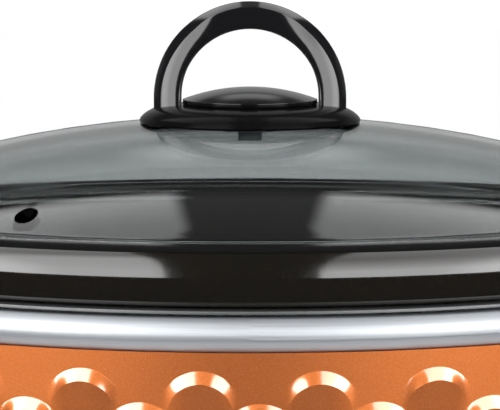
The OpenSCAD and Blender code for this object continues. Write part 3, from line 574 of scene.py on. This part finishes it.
flange_edge = half_size(liner_lo, liner_hi) - half_length
liner_out = -11.0          # the wall's top, as an offset from the shell's oval
liner_foot = -16.0         # and its foot
liner_wall = 1.0
liner_floor = liner_lo[2]
liner_round = 40.0
liner_round_z = liner_floor + liner_round
liner_count = 480
stud_hole = 2.6
liner_profile = (
    [(flange_edge, flange_top - 0.8), (flange_edge, flange_top - 0.2),
     (flange_edge - 0.2, flange_top), (liner_out - 0.4, flange_top),
     (liner_out - 1.0, flange_top - 0.6), (liner_foot - liner_wall, liner_round_z)]
    + arc(liner_foot - liner_round, liner_round_z, liner_round - liner_wall, -3, -90, 16)
    + arc(liner_foot - liner_round, liner_round_z, liner_round, -90, -3, 16)
    + [(liner_foot, liner_round_z), (liner_out, flange_top - 1.4),
       (liner_out + 0.4, flange_top - liner_wall), (flange_edge - 0.2, flange_top - liner_wall)])
finish_piece(sweep("heating_well", liner_profile, liner_count), "base", "liner_metal")


def oval_disc(name, offset, levels, hole, count):
    """A flat oval plate between two heights, with an optional round hole in its middle."""
    samples, around = outline(count)
    edge = oval_line(samples, offset)[:, :2]
    angle = np.arctan2(edge[:, 1] - centre_y, edge[:, 0])
    centre = np.stack([np.cos(angle) * hole, np.sin(angle) * hole + centre_y], axis=1)
    low, high = levels
    rings = []
    for level, shares in ((low, (0, 0.5, 1)), (high, (1, 0.5, 0))):
        for t in shares:
            flat = centre + (edge - centre) * t
            rings.append(np.concatenate([flat, np.full((count, 1), level)], axis=1))
    return grid_object(name, np.stack(rings, axis=1), wrap_j=hole > 0, u=around)


well_floor = oval_disc("well_floor", liner_foot - liner_round,
                       (liner_floor, liner_floor + liner_wall), stud_hole, liner_count)
finish_piece(well_floor, "base", "liner_metal", "inner_liner")

# ---- Crock ----

lug_radius = 36.0
lug_x = crock_hi[0] - lug_radius
lug_z = (rim_bottom + rim_top) / 2
lug_half = 5.5
shoulder = 10.0            # radius of the rim's upper edge
shoulder_z = rim_top - 8.35
rim_round = 2.5            # radius of its lower edge
ledge_z = glass_bottom - seat_gap
ledge_out = -10.5          # offsets from the shell's oval: the ledge that holds the lid
crock_out = -15.0          # the wall's top
crock_foot = -20.0         # and its foot
crock_wall = 7.5
crock_floor = crock_lo[2]
crock_round = 38.0
crock_round_z = crock_floor + crock_round
crock_count = 640


def crock():
    """The pot with its thick rim and its two end lugs, but without its flat floor."""
    samples, around = outline(crock_count)
    lip_angle = math.degrees(math.acos((ledge_out + rim_inset + shoulder) / shoulder))
    outer = (
        [(crock_out, rim_bottom + 0.2), (crock_out + 2.5, rim_bottom)]
        + arc(-rim_inset - rim_round, rim_bottom + rim_round, rim_round, -90, 0, 6)
        + [(-rim_inset, z) for z in np.linspace(rim_bottom + 3.2, shoulder_z, 14)]
        + arc(-rim_inset - shoulder, shoulder_z, shoulder, 4, lip_angle - 2, 14)
        + [(ledge_out + 0.15, rim_top - 0.25), (ledge_out - 0.1, rim_top - 0.9),
           (ledge_out - 0.7, ledge_z)])
    inner = (
        [(-22.0, ledge_z), (-22.6, ledge_z - 0.3), (-23.3, ledge_z - 1.4), (-23.3, ledge_z - 6),
         (crock_foot - crock_wall, crock_round_z)]
        + arc(crock_foot - crock_round, crock_round_z, crock_round - crock_wall, -6, -90, 14)
        + arc(crock_foot - crock_round, crock_round_z, crock_round, -90, -6, 16)
        + [(crock_foot, crock_round_z), (crock_out, shoulder_z - 14)])
    profile = np.array(outer + inner)
    offsets = np.broadcast_to(profile[None, :, 0], (len(samples), len(profile))).copy()
    z = np.broadcast_to(profile[None, :, 1], offsets.shape)
    # The end lugs: the rim's outer face swells out to a rounded half disc
    base = oval_line(samples, -rim_inset)
    side = np.sign(base[:, 0])
    rel_x, rel_y = base[:, 0] - side * lug_x, base[:, 1] - centre_y
    dx, dy = samples[:, 2], samples[:, 3]
    along = rel_x * dx + rel_y * dy
    inside = rel_x ** 2 + rel_y ** 2 - lug_radius ** 2
    reach = -along + np.sqrt(np.maximum(along ** 2 - inside, 0))
    reach = np.where((inside < 0) & (side * rel_x > 0), reach, 0)
    share = np.clip(1 - ((z - lug_z) / lug_half) ** 2, 0, 1) ** 0.5
    on_face = (profile[:, 0] > -rim_inset - 1.5) & (profile[:, 1] < shoulder_z + 6)
    offsets += reach[:, None] * share * on_face[None, :]
    points = offset_points(samples, offsets, z)
    return grid_object("crock_body", points, u=around)


finish_piece(crock(), "crock", "stoneware", "crock")
crock_base = oval_disc("crock_floor", crock_foot - crock_round,
                       (crock_floor, crock_floor + crock_wall), 0.0, crock_count)
finish_piece(crock_base, "crock", "stoneware")

# ---- Lid glass ----

lid_inset = 11.0           # of the lid's edge, from the shell's oval
lid_round = 0.5
dome_curve = 80.0          # height of the ellipsoid that the dome is the top of
dome_z = dome_top - dome_curve
dome_rise = dome_top - glass_top
dome_foot = 14.0           # where it would meet the rim, as an inset from the oval
dome_fillet = 1.2          # width of the fillet there
dome_share = math.sqrt(1 - ((dome_curve - dome_rise) / dome_curve) ** 2)
dome_x = (half_length - dome_foot) / dome_share
dome_y = (half_depth - dome_foot) / dome_share
vent = (-75.0, -93.0)
vent_radius = 4.0


def dome_level(x, y, grow=0.0):
    """Height of the dome's outside, or of a surface that lies outside it by grow."""
    left = 1 - (x / (dome_x + grow)) ** 2 - ((y - centre_y) / (dome_y + grow)) ** 2
    return dome_z + (dome_curve + grow) * np.sqrt(np.maximum(left, 0))


def blend_up(a, b, width):
    """The higher of two levels, with a fillet of this width where they meet."""
    h = np.clip(0.5 + (a - b) / (2 * width), 0, 1)
    return b + (a - b) * h + width * h * (1 - h)


def glass():
    """The lid's sheet: a flat rim that rises in a fillet to the dome."""
    samples, around = outline(480)
    insets = [12.8, 14, 15, 16, 17, 18, 19, 20, 21.5, 23, 25, 28, 32, 37, 43, 51, 60]
    shrink = [0.9, 0.78, 0.66, 0.54, 0.42, 0.30, 0.18, 0.10, 0.063]
    rows = [oval_line(samples, -inset) for inset in insets]
    last = rows[-1]
    middle = np.array([0, centre_y, 0])
    rows += [middle + (last - middle) * t for t in shrink]
    hole = 3.5             # for the handle's screw
    angle = np.arctan2(last[:, 1] - centre_y, last[:, 0])
    rows.append(np.stack([np.cos(angle) * hole, np.sin(angle) * hole + centre_y,
                          np.zeros(len(angle))], axis=1))
    top, under = [], []
    for row in rows:
        up, down = row.copy(), row.copy()
        x, y = row[:, 0], row[:, 1]
        up[:, 2] = blend_up(dome_level(x, y), glass_top, dome_fillet)
        down[:, 2] = blend_up(dome_level(x, y, -glass_wall), glass_bottom, dome_fillet)
        up[:, 2] = np.minimum(up[:, 2], dome_top)
        if row is rows[0]:
            up[:, 2], down[:, 2] = glass_top, glass_bottom
        top.append(up)
        under.append(down)
    round_in = -lid_inset - lid_round
    rim = (arc(round_in, glass_bottom + lid_round, lid_round, -90, 0, 5)
           + arc(round_in, glass_top - lid_round, lid_round, 0, 90, 5))
    rings = under[::-1] + [oval_line(samples, r, z) for r, z in rim] + top
    # The last strip, from top to under, is the wall of the screw's hole
    return grid_object("lid_dome", np.stack(rings, axis=1), sharp=50, u=around)


dome = glass()
cutter = lathe("vent_cutter",
               [(vent_radius, glass_bottom - 20), (vent_radius, dome_top + 20)],
               (vent[0], vent[1] + centre_y), 48, caps=((0, False), (1, True)))
cut = dome.modifiers.new("vent", "BOOLEAN")
cut.operation = "DIFFERENCE"
cut.solver = "EXACT"
cut.object = cutter
bpy.context.view_layer.update()
depsgraph = bpy.context.evaluated_depsgraph_get()
drilled = bpy.data.meshes.new_from_object(dome.evaluated_get(depsgraph))
dome.modifiers.clear()
dome.data = drilled
bpy.data.objects.remove(cutter)
drilled.shade_smooth()
drilled.set_sharp_from_angle(angle=math.radians(50))
finish_piece(dome, "lid", "tempered_glass", "lid_glass")
# A second, opaque near-black finish for the edge: painted shade in place of clear glass
drilled.materials.append(looks["painted_dark_glass_edge"])


def outward(x, y):
    """How far a place lies outside the shell's oval, or below 0 how far inside it."""
    x, y = abs(x), abs(y)
    if x > end_cx and y * LEG_X < (x - end_cx) * LEG_Y:
        return math.hypot(x - end_cx, y) - end_r
    return math.hypot(x, y + side_cy) - side_r


# Painted shade: the glass's upright edge gets an opaque near-black finish, standing in for the
# dark seen through the clear glass there
for face in drilled.polygons:
    x, y, z = (v / MM for v in face.center)
    if abs(face.normal.z) < 0.25 and glass_bottom < z < glass_top:
        if outward(x, y - centre_y) > -lid_inset - 0.4:
            face.material_index = 1

# ---- Lid handle ----

arch_inner = 25.9
arch_wall = 10.2
arch_depth = 15.0
arch_mid = arch_inner + arch_wall / 2
arch_z = grip_top - arch_inner - arch_wall
arch_taper = 0.062         # lost from half its depth for each millimetre of height
crown = (0.72, 0.95)       # sines of the angles between which its section changes
base_radius = half_size(base_lo, base_hi)
base_bottom = base_lo[2]


def arch():
    """The arched grip: its faces round off towards the outside, and it is slimmer on top."""
    foot = base_bottom + 1.5
    spring = arch_z - 0.5
    turns = np.linspace(180, 0, 97)
    steps = [(-arch_mid, z, 180.0) for z in np.linspace(foot, spring, 6)]
    steps += [(x, z, a) for (x, z), a in zip(arc(0, arch_z, arch_mid, 180, 0, 96), turns)]
    steps += [(arch_mid, z, 0.0) for z in np.linspace(spring, foot, 6)]
    half = arch_wall / 2

    def front(top, face_share, depth):
        """Half a section, from the inner edge over the face to the outermost line; top is
        0 on the legs and 1 at the crown."""
        edge_r, inner_share, fold_width = 0.7, 0.20, 0.25
        fold, corner = 30 - 11 * top, 0.35 - 0.25 * top
        low, high = 43 + 21 * top, 52 + 18 * top
        flank = arch_wall * (1 - inner_share - face_share) - fold_width - corner
        # Bends in a row: the angles they start and end at, their steps and their width
        bends = [(-90, 2, 6, edge_r * (1 + math.sin(math.radians(2)))),
                 (2, 7.5, 3, arch_wall * inner_share - edge_r),
                 (7.5, fold, 12, arch_wall * face_share), (fold, low, 3, fold_width),
                 (low, high, 6, flank), (high, 90, 6, corner)]
        points = [(-half, edge_r)]
        for start, end, count, width in bends:
            start, end = math.radians(start), math.radians(end)
            radius = width / (math.sin(end) - math.sin(start))
            for a in np.linspace(start, end, count + 1)[1:]:
                r, y = points[-1]
                points.append((r + radius * (math.sin(a) - math.sin(start)),
                               y + radius * (math.cos(start) - math.cos(a))))
                start = a
        points = np.array(points)
        points[:, 0] = -half + (points[:, 0] + half) * arch_wall / (points[-1, 0] + half)
        points[:, 1] *= min(1, (depth - 0.1) / points[-1, 1])
        return points.tolist()

    rings = []
    for x, z, a in steps:
        ux, uz = math.cos(math.radians(a)), math.sin(math.radians(a))
        deep = arch_depth / 2 - arch_taper * (z - foot)
        top = float(smooth_step(uz, *crown))
        shape = front(top, 0.53 - 0.10 * max(0, uz) + 0.13 * top, deep)
        section = [(r, y - deep) for r, y in shape] + [(r, deep - y) for r, y in reversed(shape)]
        rings.append([(x + ux * r, centre_y + y, z + uz * r) for r, y in section])
    return grid_object("handle_arch", np.array(rings), wrap_i=False, sharp=50)


finish_piece(arch(), "lid", "gloss_black", "lid_handle")

pad_dome = 4.6
pad_lip = 1.8
pad_edge = arch_inner - 0.6
pad_sphere = (pad_edge ** 2 + pad_dome ** 2) / (2 * pad_dome)
pad_top = pad_bottom + pad_lip + pad_dome
pad_profile = [(0.0, pad_bottom)]
pad_profile += [(pad_edge - inset, pad_bottom + rise) for inset, rise in (
    (0.3, 0), (0, 0.3), (0, 1.70), (0, 1.78), (0.03, 1.83), (0.1, 1.86))]
for r in np.linspace(pad_edge - 0.7, 0, 18):
    pad_profile.append((r, pad_top - pad_sphere + math.sqrt(pad_sphere ** 2 - r ** 2)))
finish_piece(lathe("handle_pad", pad_profile, (0, centre_y), 128, 50), "lid", "gloss_black")

# The flange: a flat bell that rounds down to its nose
bell_hole = 4.0
bell_flat = 0.13           # the share of its drop that is a plain cone
bell_power, bell_turn = 3.2, 0.75      # how late and how tightly the rest turns down
bell_drop = base_hi[2] - base_bottom - 1.0
bell_top = pad_edge + 0.3
bell = [(r, 0.0) for r in np.linspace(bell_hole, base_radius - 2, 14)]
bell += [(base_radius - 1.0, base_bottom), (base_radius - 0.3, base_bottom + 0.25),
         (base_radius, base_bottom + 0.8)]
for t in np.linspace(0.97, 0, 20):
    curl = 1 - (1 - t ** bell_power) ** bell_turn
    drop = bell_drop * (bell_flat * t + (1 - bell_flat) * curl)
    bell.append((bell_top + (base_radius - bell_top) * t, base_hi[2] - drop))
bell.append((bell_hole, base_hi[2]))
skirt = lathe("handle_skirt", bell, (0, centre_y), 160, 30, wrap_j=True)
# Its underside, drawn at height 0, is laid on the dome
for v in skirt.data.vertices:
    if v.co.z < base_bottom * MM:
        seat = float(dome_level(v.co.x / MM, v.co.y / MM)) + seat_gap
        v.co.z = max(seat, base_bottom) * MM
weld(skirt.data)
finish_piece(skirt, "lid", "gloss_black", "handle_base", look="bell_black")

# ---- Base skirt and side handles ----

skirt_proud = half_size(skirt_lo, skirt_hi) - half_length
skirt_low, skirt_high = skirt_lo[2], skirt_hi[2]
skirt_in = -16.0           # inner edge of its floor, as an offset from the shell's oval
skirt_floor = skirt_low + 2.9
skirt_round = 1.2
skirt_shape = (
    [(skirt_in, skirt_low), (skirt_proud - skirt_round, skirt_low)]
    + arc(skirt_proud - skirt_round, skirt_low + skirt_round, skirt_round, -80, 0, 6)
    + arc(skirt_proud - skirt_round, skirt_high - skirt_round, skirt_round, 0, 90, 6)
    + [(0.4, skirt_high), (0.1, skirt_high - 0.4), (0.1, skirt_floor), (skirt_in, skirt_floor)])
finish_piece(sweep("skirt_moulding", skirt_shape), "base", "matt_black", "base_skirt")


grip_bar = 11.0            # width of the bar in plan
grip_rise = 7              # half of its height
grip_foot = 50             # from the handle's middle to where an arm leaves the shell
grip_outer = (56.0, 14.0)  # half length and corner radius of the bar's outside
grip_inner = (42.0, 7.0)   # and of its inside


def side_handle(side, node):
    """The grip: a rounded bar that runs out from the shell, along it and back."""
    lo, hi = span(node)
    reach = hi[0] if side > 0 else -lo[0]
    out_r = reach - end_cx
    level = mid(lo, hi)
    foot = math.sqrt((end_r + 1) ** 2 - grip_foot ** 2)

    def plan(radius, half, corner):
        corner_y = half - corner
        corner_x = math.sqrt((radius - corner) ** 2 - corner_y ** 2)
        turn = math.degrees(math.atan2(corner_y, corner_x))
        path = [(x, -half) for x in np.linspace(foot, corner_x, 9)[:-1]]
        path += arc(corner_x, -corner_y, corner, -90, -turn, 12)[:-1]
        path += arc(0, 0, radius, -turn, turn, 28)[:-1]
        path += arc(corner_x, corner_y, corner, turn, 90, 12)[:-1]
        path += [(x, half) for x in np.linspace(corner_x, foot, 9)]
        return np.array(path)

    outer = plan(out_r, *grip_outer)
    inner = plan(out_r - grip_bar, *grip_inner)
    rings = []
    for a in np.linspace(0, 360, 33)[:-1]:
        across = boxy(math.cos(math.radians(a)), 0.55)
        up = level + grip_rise * boxy(math.sin(math.radians(a)), 0.55)
        flat = (outer + inner) / 2 + (outer - inner) / 2 * across
        rings.append(np.concatenate([flat, np.full((len(flat), 1), up)], axis=1))
    points = np.stack(rings, axis=1)
    points[..., 0] = side * (points[..., 0] + end_cx)
    points[..., 1] += centre_y
    if side > 0:
        points = points[:, ::-1]
    return grid_object(node.replace("side_handle", "grip"), points, wrap_i=False, sharp=50)


def handle_plate(side, node):
    """The curved plate between the grip and the shell."""
    lo, hi = span(node)
    level, half = mid(lo, hi), half_size(lo, hi, 2)
    face, back = end_r + 5.4, end_r + 0.1
    rows = []
    around = 120
    for depth, shrink in ((back, 0.0), (back + 3.6, 0.0), (face - 0.9, 0.25),
                          (face - 0.25, 0.9), (face, 1.9), (face, 12.0), (face, 16.9)):
        ring = []
        for k in range(around):
            a = 2 * math.pi * k / around
            turn = boxy(math.cos(a), 0.22) * (plate_half - shrink) / face
            z = boxy(math.sin(a), 0.45) * (half - shrink)
            ring.append((side * (end_cx + depth * math.cos(turn)),
                         centre_y + depth * math.sin(turn), level + z))
        rows.append(ring)
    points = np.array(rows).transpose(1, 0, 2)
    if side < 0:
        points = points[::-1]
    return grid_object(node.replace("side_handle", "plate"), points[::-1], wrap_j=False)


for side, node in ((1, "side_handle_right"), (-1, "side_handle_left")):
    finish_piece(side_handle(side, node), "base", "matt_black", node)
    finish_piece(handle_plate(side, node), "base", "matt_black")

# ---- Control ----

knob_z = mid(knob_lo, knob_hi)
knob_radius = half_size(knob_lo, knob_hi)
knob_front, knob_back = knob_lo[1], knob_hi[1]
knob_bore, bore_depth = 9.2, 13.0
knob_waist = 16.1
waist_start = 5.6          # from the knob's back
grooves = 18
bezel_radius = half_size(bezel_lo, bezel_hi)
bezel_face = -bezel_lo[1]  # heights of lathed pieces about the Y axis grow to the front
bezel_hole = 5.4


def knob():
    """A round knob with a waist of finger grooves, its face to the front."""
    depth = knob_back - knob_front
    profile = ([(0.0, bore_depth), (knob_bore, bore_depth), (knob_bore, 0.0),
                (knob_radius - 0.4, 0.0), (knob_radius, 0.4), (knob_radius, 4.0)]
               + arc(knob_radius - 1, 4.0, 1.0, 20, 90, 4) + [(16.9, 5.0), (16.5, 5.3)]
               + [(knob_waist, z) for z in np.linspace(6.0, depth - 3.2, 6)]
               + arc(13.6, depth - 2.5, 2.5, 5, 85, 6)
               + [(12.6, depth - 0.02), (11.8, depth - 0.25), (8.0, depth - 0.45),
                  (0.0, depth - 0.5)])
    profile = [(r, -knob_back + z) for r, z in profile]
    obj = lathe("knob_body", profile, (0, knob_z), 288, 45, axis="Y")
    for v in obj.data.vertices:
        x, z = v.co.x / MM, v.co.z / MM - knob_z
        height = knob_back - v.co.y / MM
        if math.hypot(x, z) > 12.9 and height > waist_start:
            wave = (0.5 + 0.5 * math.cos(grooves * math.atan2(z, x))) ** 6
            cut_in = 1 - 0.075 * wave * min(1, (height - waist_start) / 0.8)
            v.co.x *= cut_in
            v.co.z = (knob_z + z * cut_in) * MM
    obj.data.update()
    return obj


finish_piece(knob(), "control_knob", "gloss_black", "control_knob")

bezel_shape = ([(bezel_hole, bezel_face - 3.0), (bezel_radius, bezel_face - 3.0),
                (bezel_radius, bezel_face - 1.0)]
               + arc(bezel_radius - 0.8, bezel_face - 0.85, 0.8, 5, 85, 5)
               + [(bezel_radius - 1.8, bezel_face - 0.02), (22.4, bezel_face - 0.02),
                  (22.0, bezel_face - 0.35), (bezel_hole, bezel_face - 0.35)])
bezel = lathe("bezel_plate", bezel_shape, (0, knob_z), 144, 35, axis="Y", wrap_j=True)
finish_piece(bezel, "base", "matt_black", "control_bezel")

tick_in, tick_out, tick_half = 22.7, 24.2, 0.35
digit_ring, digit_size = 26.2, 3.2
dial_turns = (180, 120, 60, 0)         # degrees from the right, for 0 to 3


def dial_tick(k, ux, uz, face):
    """A tick that points outward along (ux, uz), printed on the bezel."""
    quad = [(ux * r - uz * w, uz * r + ux * w)
            for r, w in ((tick_in, -tick_half), (tick_out, -tick_half),
                         (tick_out, tick_half), (tick_in, tick_half))]
    front = [(x, face - 0.02, knob_z + z) for x, z in quad]
    back = [(x, face + 0.25, knob_z + z) for x, z in quad]
    faces = [(3, 2, 1, 0), (4, 5, 6, 7)]
    faces += [(i, (i + 1) % 4, 4 + (i + 1) % 4, 4 + i) for i in range(4)]
    finish_piece(new_object(f"dial_tick_{k}", front + back, faces), "base", "white_mark")


def dial_digit(k, ux, uz, face):
    """The number outside a tick, upright on the bezel."""
    curve = bpy.data.curves.new(f"digit_{k}", "FONT")
    curve.body = str(k)
    curve.size = digit_size * MM
    curve.align_x, curve.align_y = "CENTER", "CENTER"
    curve.extrude = 0.1 * MM
    text = add_object(f"digit_{k}", curve)
    bpy.context.view_layer.update()
    mesh = bpy.data.meshes.new_from_object(text)
    bpy.data.objects.remove(text)
    weld(mesh)
    for v in mesh.vertices:
        x, y, z = v.co
        v.co = (x + ux * digit_ring * MM, (face + 0.08) * MM - z,
                y + (knob_z + uz * digit_ring) * MM)
    finish_piece(add_object(f"dial_digit_{k}", mesh), "base", "white_mark")


for k, turn in enumerate(dial_turns):
    ux, uz = math.cos(math.radians(turn)), math.sin(math.radians(turn))
    dial_tick(k, ux, uz, bezel_lo[1] + 0.02)
    dial_digit(k, ux, uz, bezel_lo[1] + 0.02)

# ---- Stage, light and camera ----

floor_look = Look("floor_paper", Roughness=0.6)
paper = floor_look.ramp(floor_look.noise(300.0, 3.0),
                        [(0.3, (0.92, 0.92, 0.92)), (0.7, (0.94, 0.94, 0.94))])
floor_look.feed(Base_Color=paper)
floor_mesh = bpy.data.meshes.new("floor")
half = 6.0
corners = [(-half, -half, 0), (half, -half, 0), (half, half, 0), (-half, half, 0)]
floor_mesh.from_pydata(corners, [], [(0, 1, 2, 3)])
floor = add_object("floor", floor_mesh)
floor.data.materials.append(floor_look.material)

floor.visible_glossy = False      # gloss shows the studio's own table, set below

# Brightness in the studio
BOX_LOW, BOX_HIGH = 4.3, 1.35     # soft boxes near the horizon and overhead
FRONT_LEFT, FRONT_RIGHT = 3.4, 1.2        # overhead, on the camera's side
WINGS = 1.6                       # added at the boxes' outer ends
BACK_WALL, DIM, TABLE = 0.30, 0.06, 1.0
CEILING, PATCH = 0.15, 0.48       # behind, overhead, and in the middle of the wall
ROOM = 1.14                       # plain white room for all that isn't gloss

# Places in the studio, as x, y or z of a direction: 1 is right, behind or up. Where a thing
# starts, the pair is the ends of its soft step; where it ends, its end and its softness
GAP, GAP_LEFT, GAP_RIGHT = 0.09, (0.07, 0.11), (0.05, 0.08)
GAP_STEP, BOX_INNER = (-0.35, -0.10), (-0.01, 0.02)
BOX_FOOT, BOX_FADE, BOX_BACK = (-0.035, -0.015), (0.35, 0.9), (0.62, 0.04)
BOX_HALF, BOX_MORE, MORE_STEP, BOX_SOFT = 0.62, 0.31, (0.05, 0.35), 0.10
FRONT_STEP, FRONT_MIDDLE, WING_STEP = (0.0, 0.35), (-0.1, 0.1), (0.55, 0.75)
WALL_FRONT, WALL_FOOT, WALL_TOP = (0.0, 0.4), (-0.02, 0.02), (0.5, 0.15)
TABLE_STEP = (0.48, 0.68)
CEILING_FOOT, CEILING_FRONT, CEILING_BACK = (0.60, 0.80), (0.10, 0.30), (0.66, 0.12)
PATCH_HALF, PATCH_FRONT = (0.14, 0.08), (0.74, 0.84)
PATCH_FOOT, PATCH_TOP = (0.43, 0.50), (0.68, 0.12)
PAST_FRONT, PAST_TOP = (0.80, 0.90), (0.16, 0.08)

world = bpy.data.worlds.new("studio")
bpy.context.scene.world = world
world.use_nodes = True
tree = world.node_tree
tree.nodes.clear()


def wnode(kind, *values, **settings):
    return add_node(tree, kind, *values, settings=settings)


def calc(operation, first, *rest):
    """One operation over its values, from left to right."""
    for value in rest:
        first = wnode("Math", first, value, operation=operation).outputs[0]
    return first


def plus(*values):
    return calc("ADD", *values)


def minus(*values):
    return calc("SUBTRACT", *values)


def times(*values):
    return calc("MULTIPLY", *values)


def edge(value, low, high):
    """0 below low and 1 above high, with a soft step between."""
    made = wnode("MapRange", value, low, high, 0.0, 1.0, interpolation_type="SMOOTHSTEP")
    return made.outputs[0]


def below(value, limit, softness):
    """1 well below a limit and 0 above it."""
    return edge(minus(limit, value), 0.0, softness)


def blend(value, low, high, start, end):
    """From start to end while the value goes from low to high."""
    return wnode("MapRange", value, low, high, start, end).outputs[0]


heading = wnode("TexCoord").outputs["Generated"]
sky_x, sky_y, sky_z = wnode("SeparateXYZ", heading).outputs
aside = wnode("Math", sky_x, operation="ABSOLUTE").outputs[0]
front = times(sky_y, -1.0)

# Two tall soft boxes, left and right, with a dark gap between them
forward = calc("MAXIMUM", front, 0.0)
front_part = edge(front, *GAP_STEP)


def soft_box(side, widening, step):
    """The box on one side; the gap next to it is wider towards the camera."""
    gap = plus(times(forward, widening), times(front_part, step), GAP)
    return edge(minus(side, gap), *BOX_INNER)


boxes = calc("MAXIMUM", soft_box(times(sky_x, -1.0), *GAP_LEFT), soft_box(sky_x, *GAP_RIGHT))
width = plus(times(edge(front, *MORE_STEP), BOX_MORE), BOX_HALF)
boxes = times(boxes, edge(sky_z, *BOX_FOOT),
              times(below(sky_y, *BOX_BACK), below(aside, width, BOX_SOFT)))
front_level = blend(sky_x, *FRONT_MIDDLE, FRONT_LEFT, FRONT_RIGHT)
overhead = blend(edge(front, *FRONT_STEP), 0.0, 1.0, BOX_HIGH, front_level)
box_level = plus(blend(sky_z, *BOX_FADE, BOX_LOW, overhead),
                 times(edge(aside, *WING_STEP), WINGS))

# A grey wall behind, a pale table, a dim ceiling behind, and a paler patch of the wall
wall = times(edge(sky_y, *WALL_FRONT), below(sky_z, *WALL_TOP), edge(sky_z, *WALL_FOOT))
table = edge(times(sky_z, -1.0), *TABLE_STEP)
ceiling = times(edge(sky_z, *CEILING_FOOT), edge(sky_y, *CEILING_FRONT),
                below(sky_y, *CEILING_BACK))
patch = times(below(aside, *PATCH_HALF), edge(sky_y, *PATCH_FRONT),
              below(sky_z, *PATCH_TOP), edge(sky_z, *PATCH_FOOT))
level = plus(times(wall, BACK_WALL), DIM, times(table, TABLE), times(ceiling, CEILING),
             times(patch, PATCH), times(boxes, box_level))

# Gloss shows all that; what looks past the object, or is matt, meets a plain white room
path = wnode("LightPath")
gloss = path.outputs["Is Glossy Ray"]
past = times(edge(sky_y, *PAST_FRONT), below(sky_z, *PAST_TOP))
through = times(past, ROOM, path.outputs["Is Transmission Ray"])
plain = times(minus(1.0, gloss), ROOM)
strength = plus(times(calc("MAXIMUM", level, through), gloss), plain)
wnode("OutputWorld", wnode("Background", (1.0, 1.0, 1.0, 1.0), strength).outputs[0])

camera_data = bpy.data.cameras.new("camera")
camera_data.sensor_width = 36.0
camera_data.lens = 156.6
camera_tilt = 7.07                # degrees below the horizon
camera = add_object("camera", camera_data)
camera.location = (0.0, -0.80525, 0.2806)
camera.rotation_euler = (math.radians(90 - camera_tilt), 0.0, 0.0)
bpy.context.scene.camera = camera
bpy.context.scene.view_settings.view_transform = "Standard"
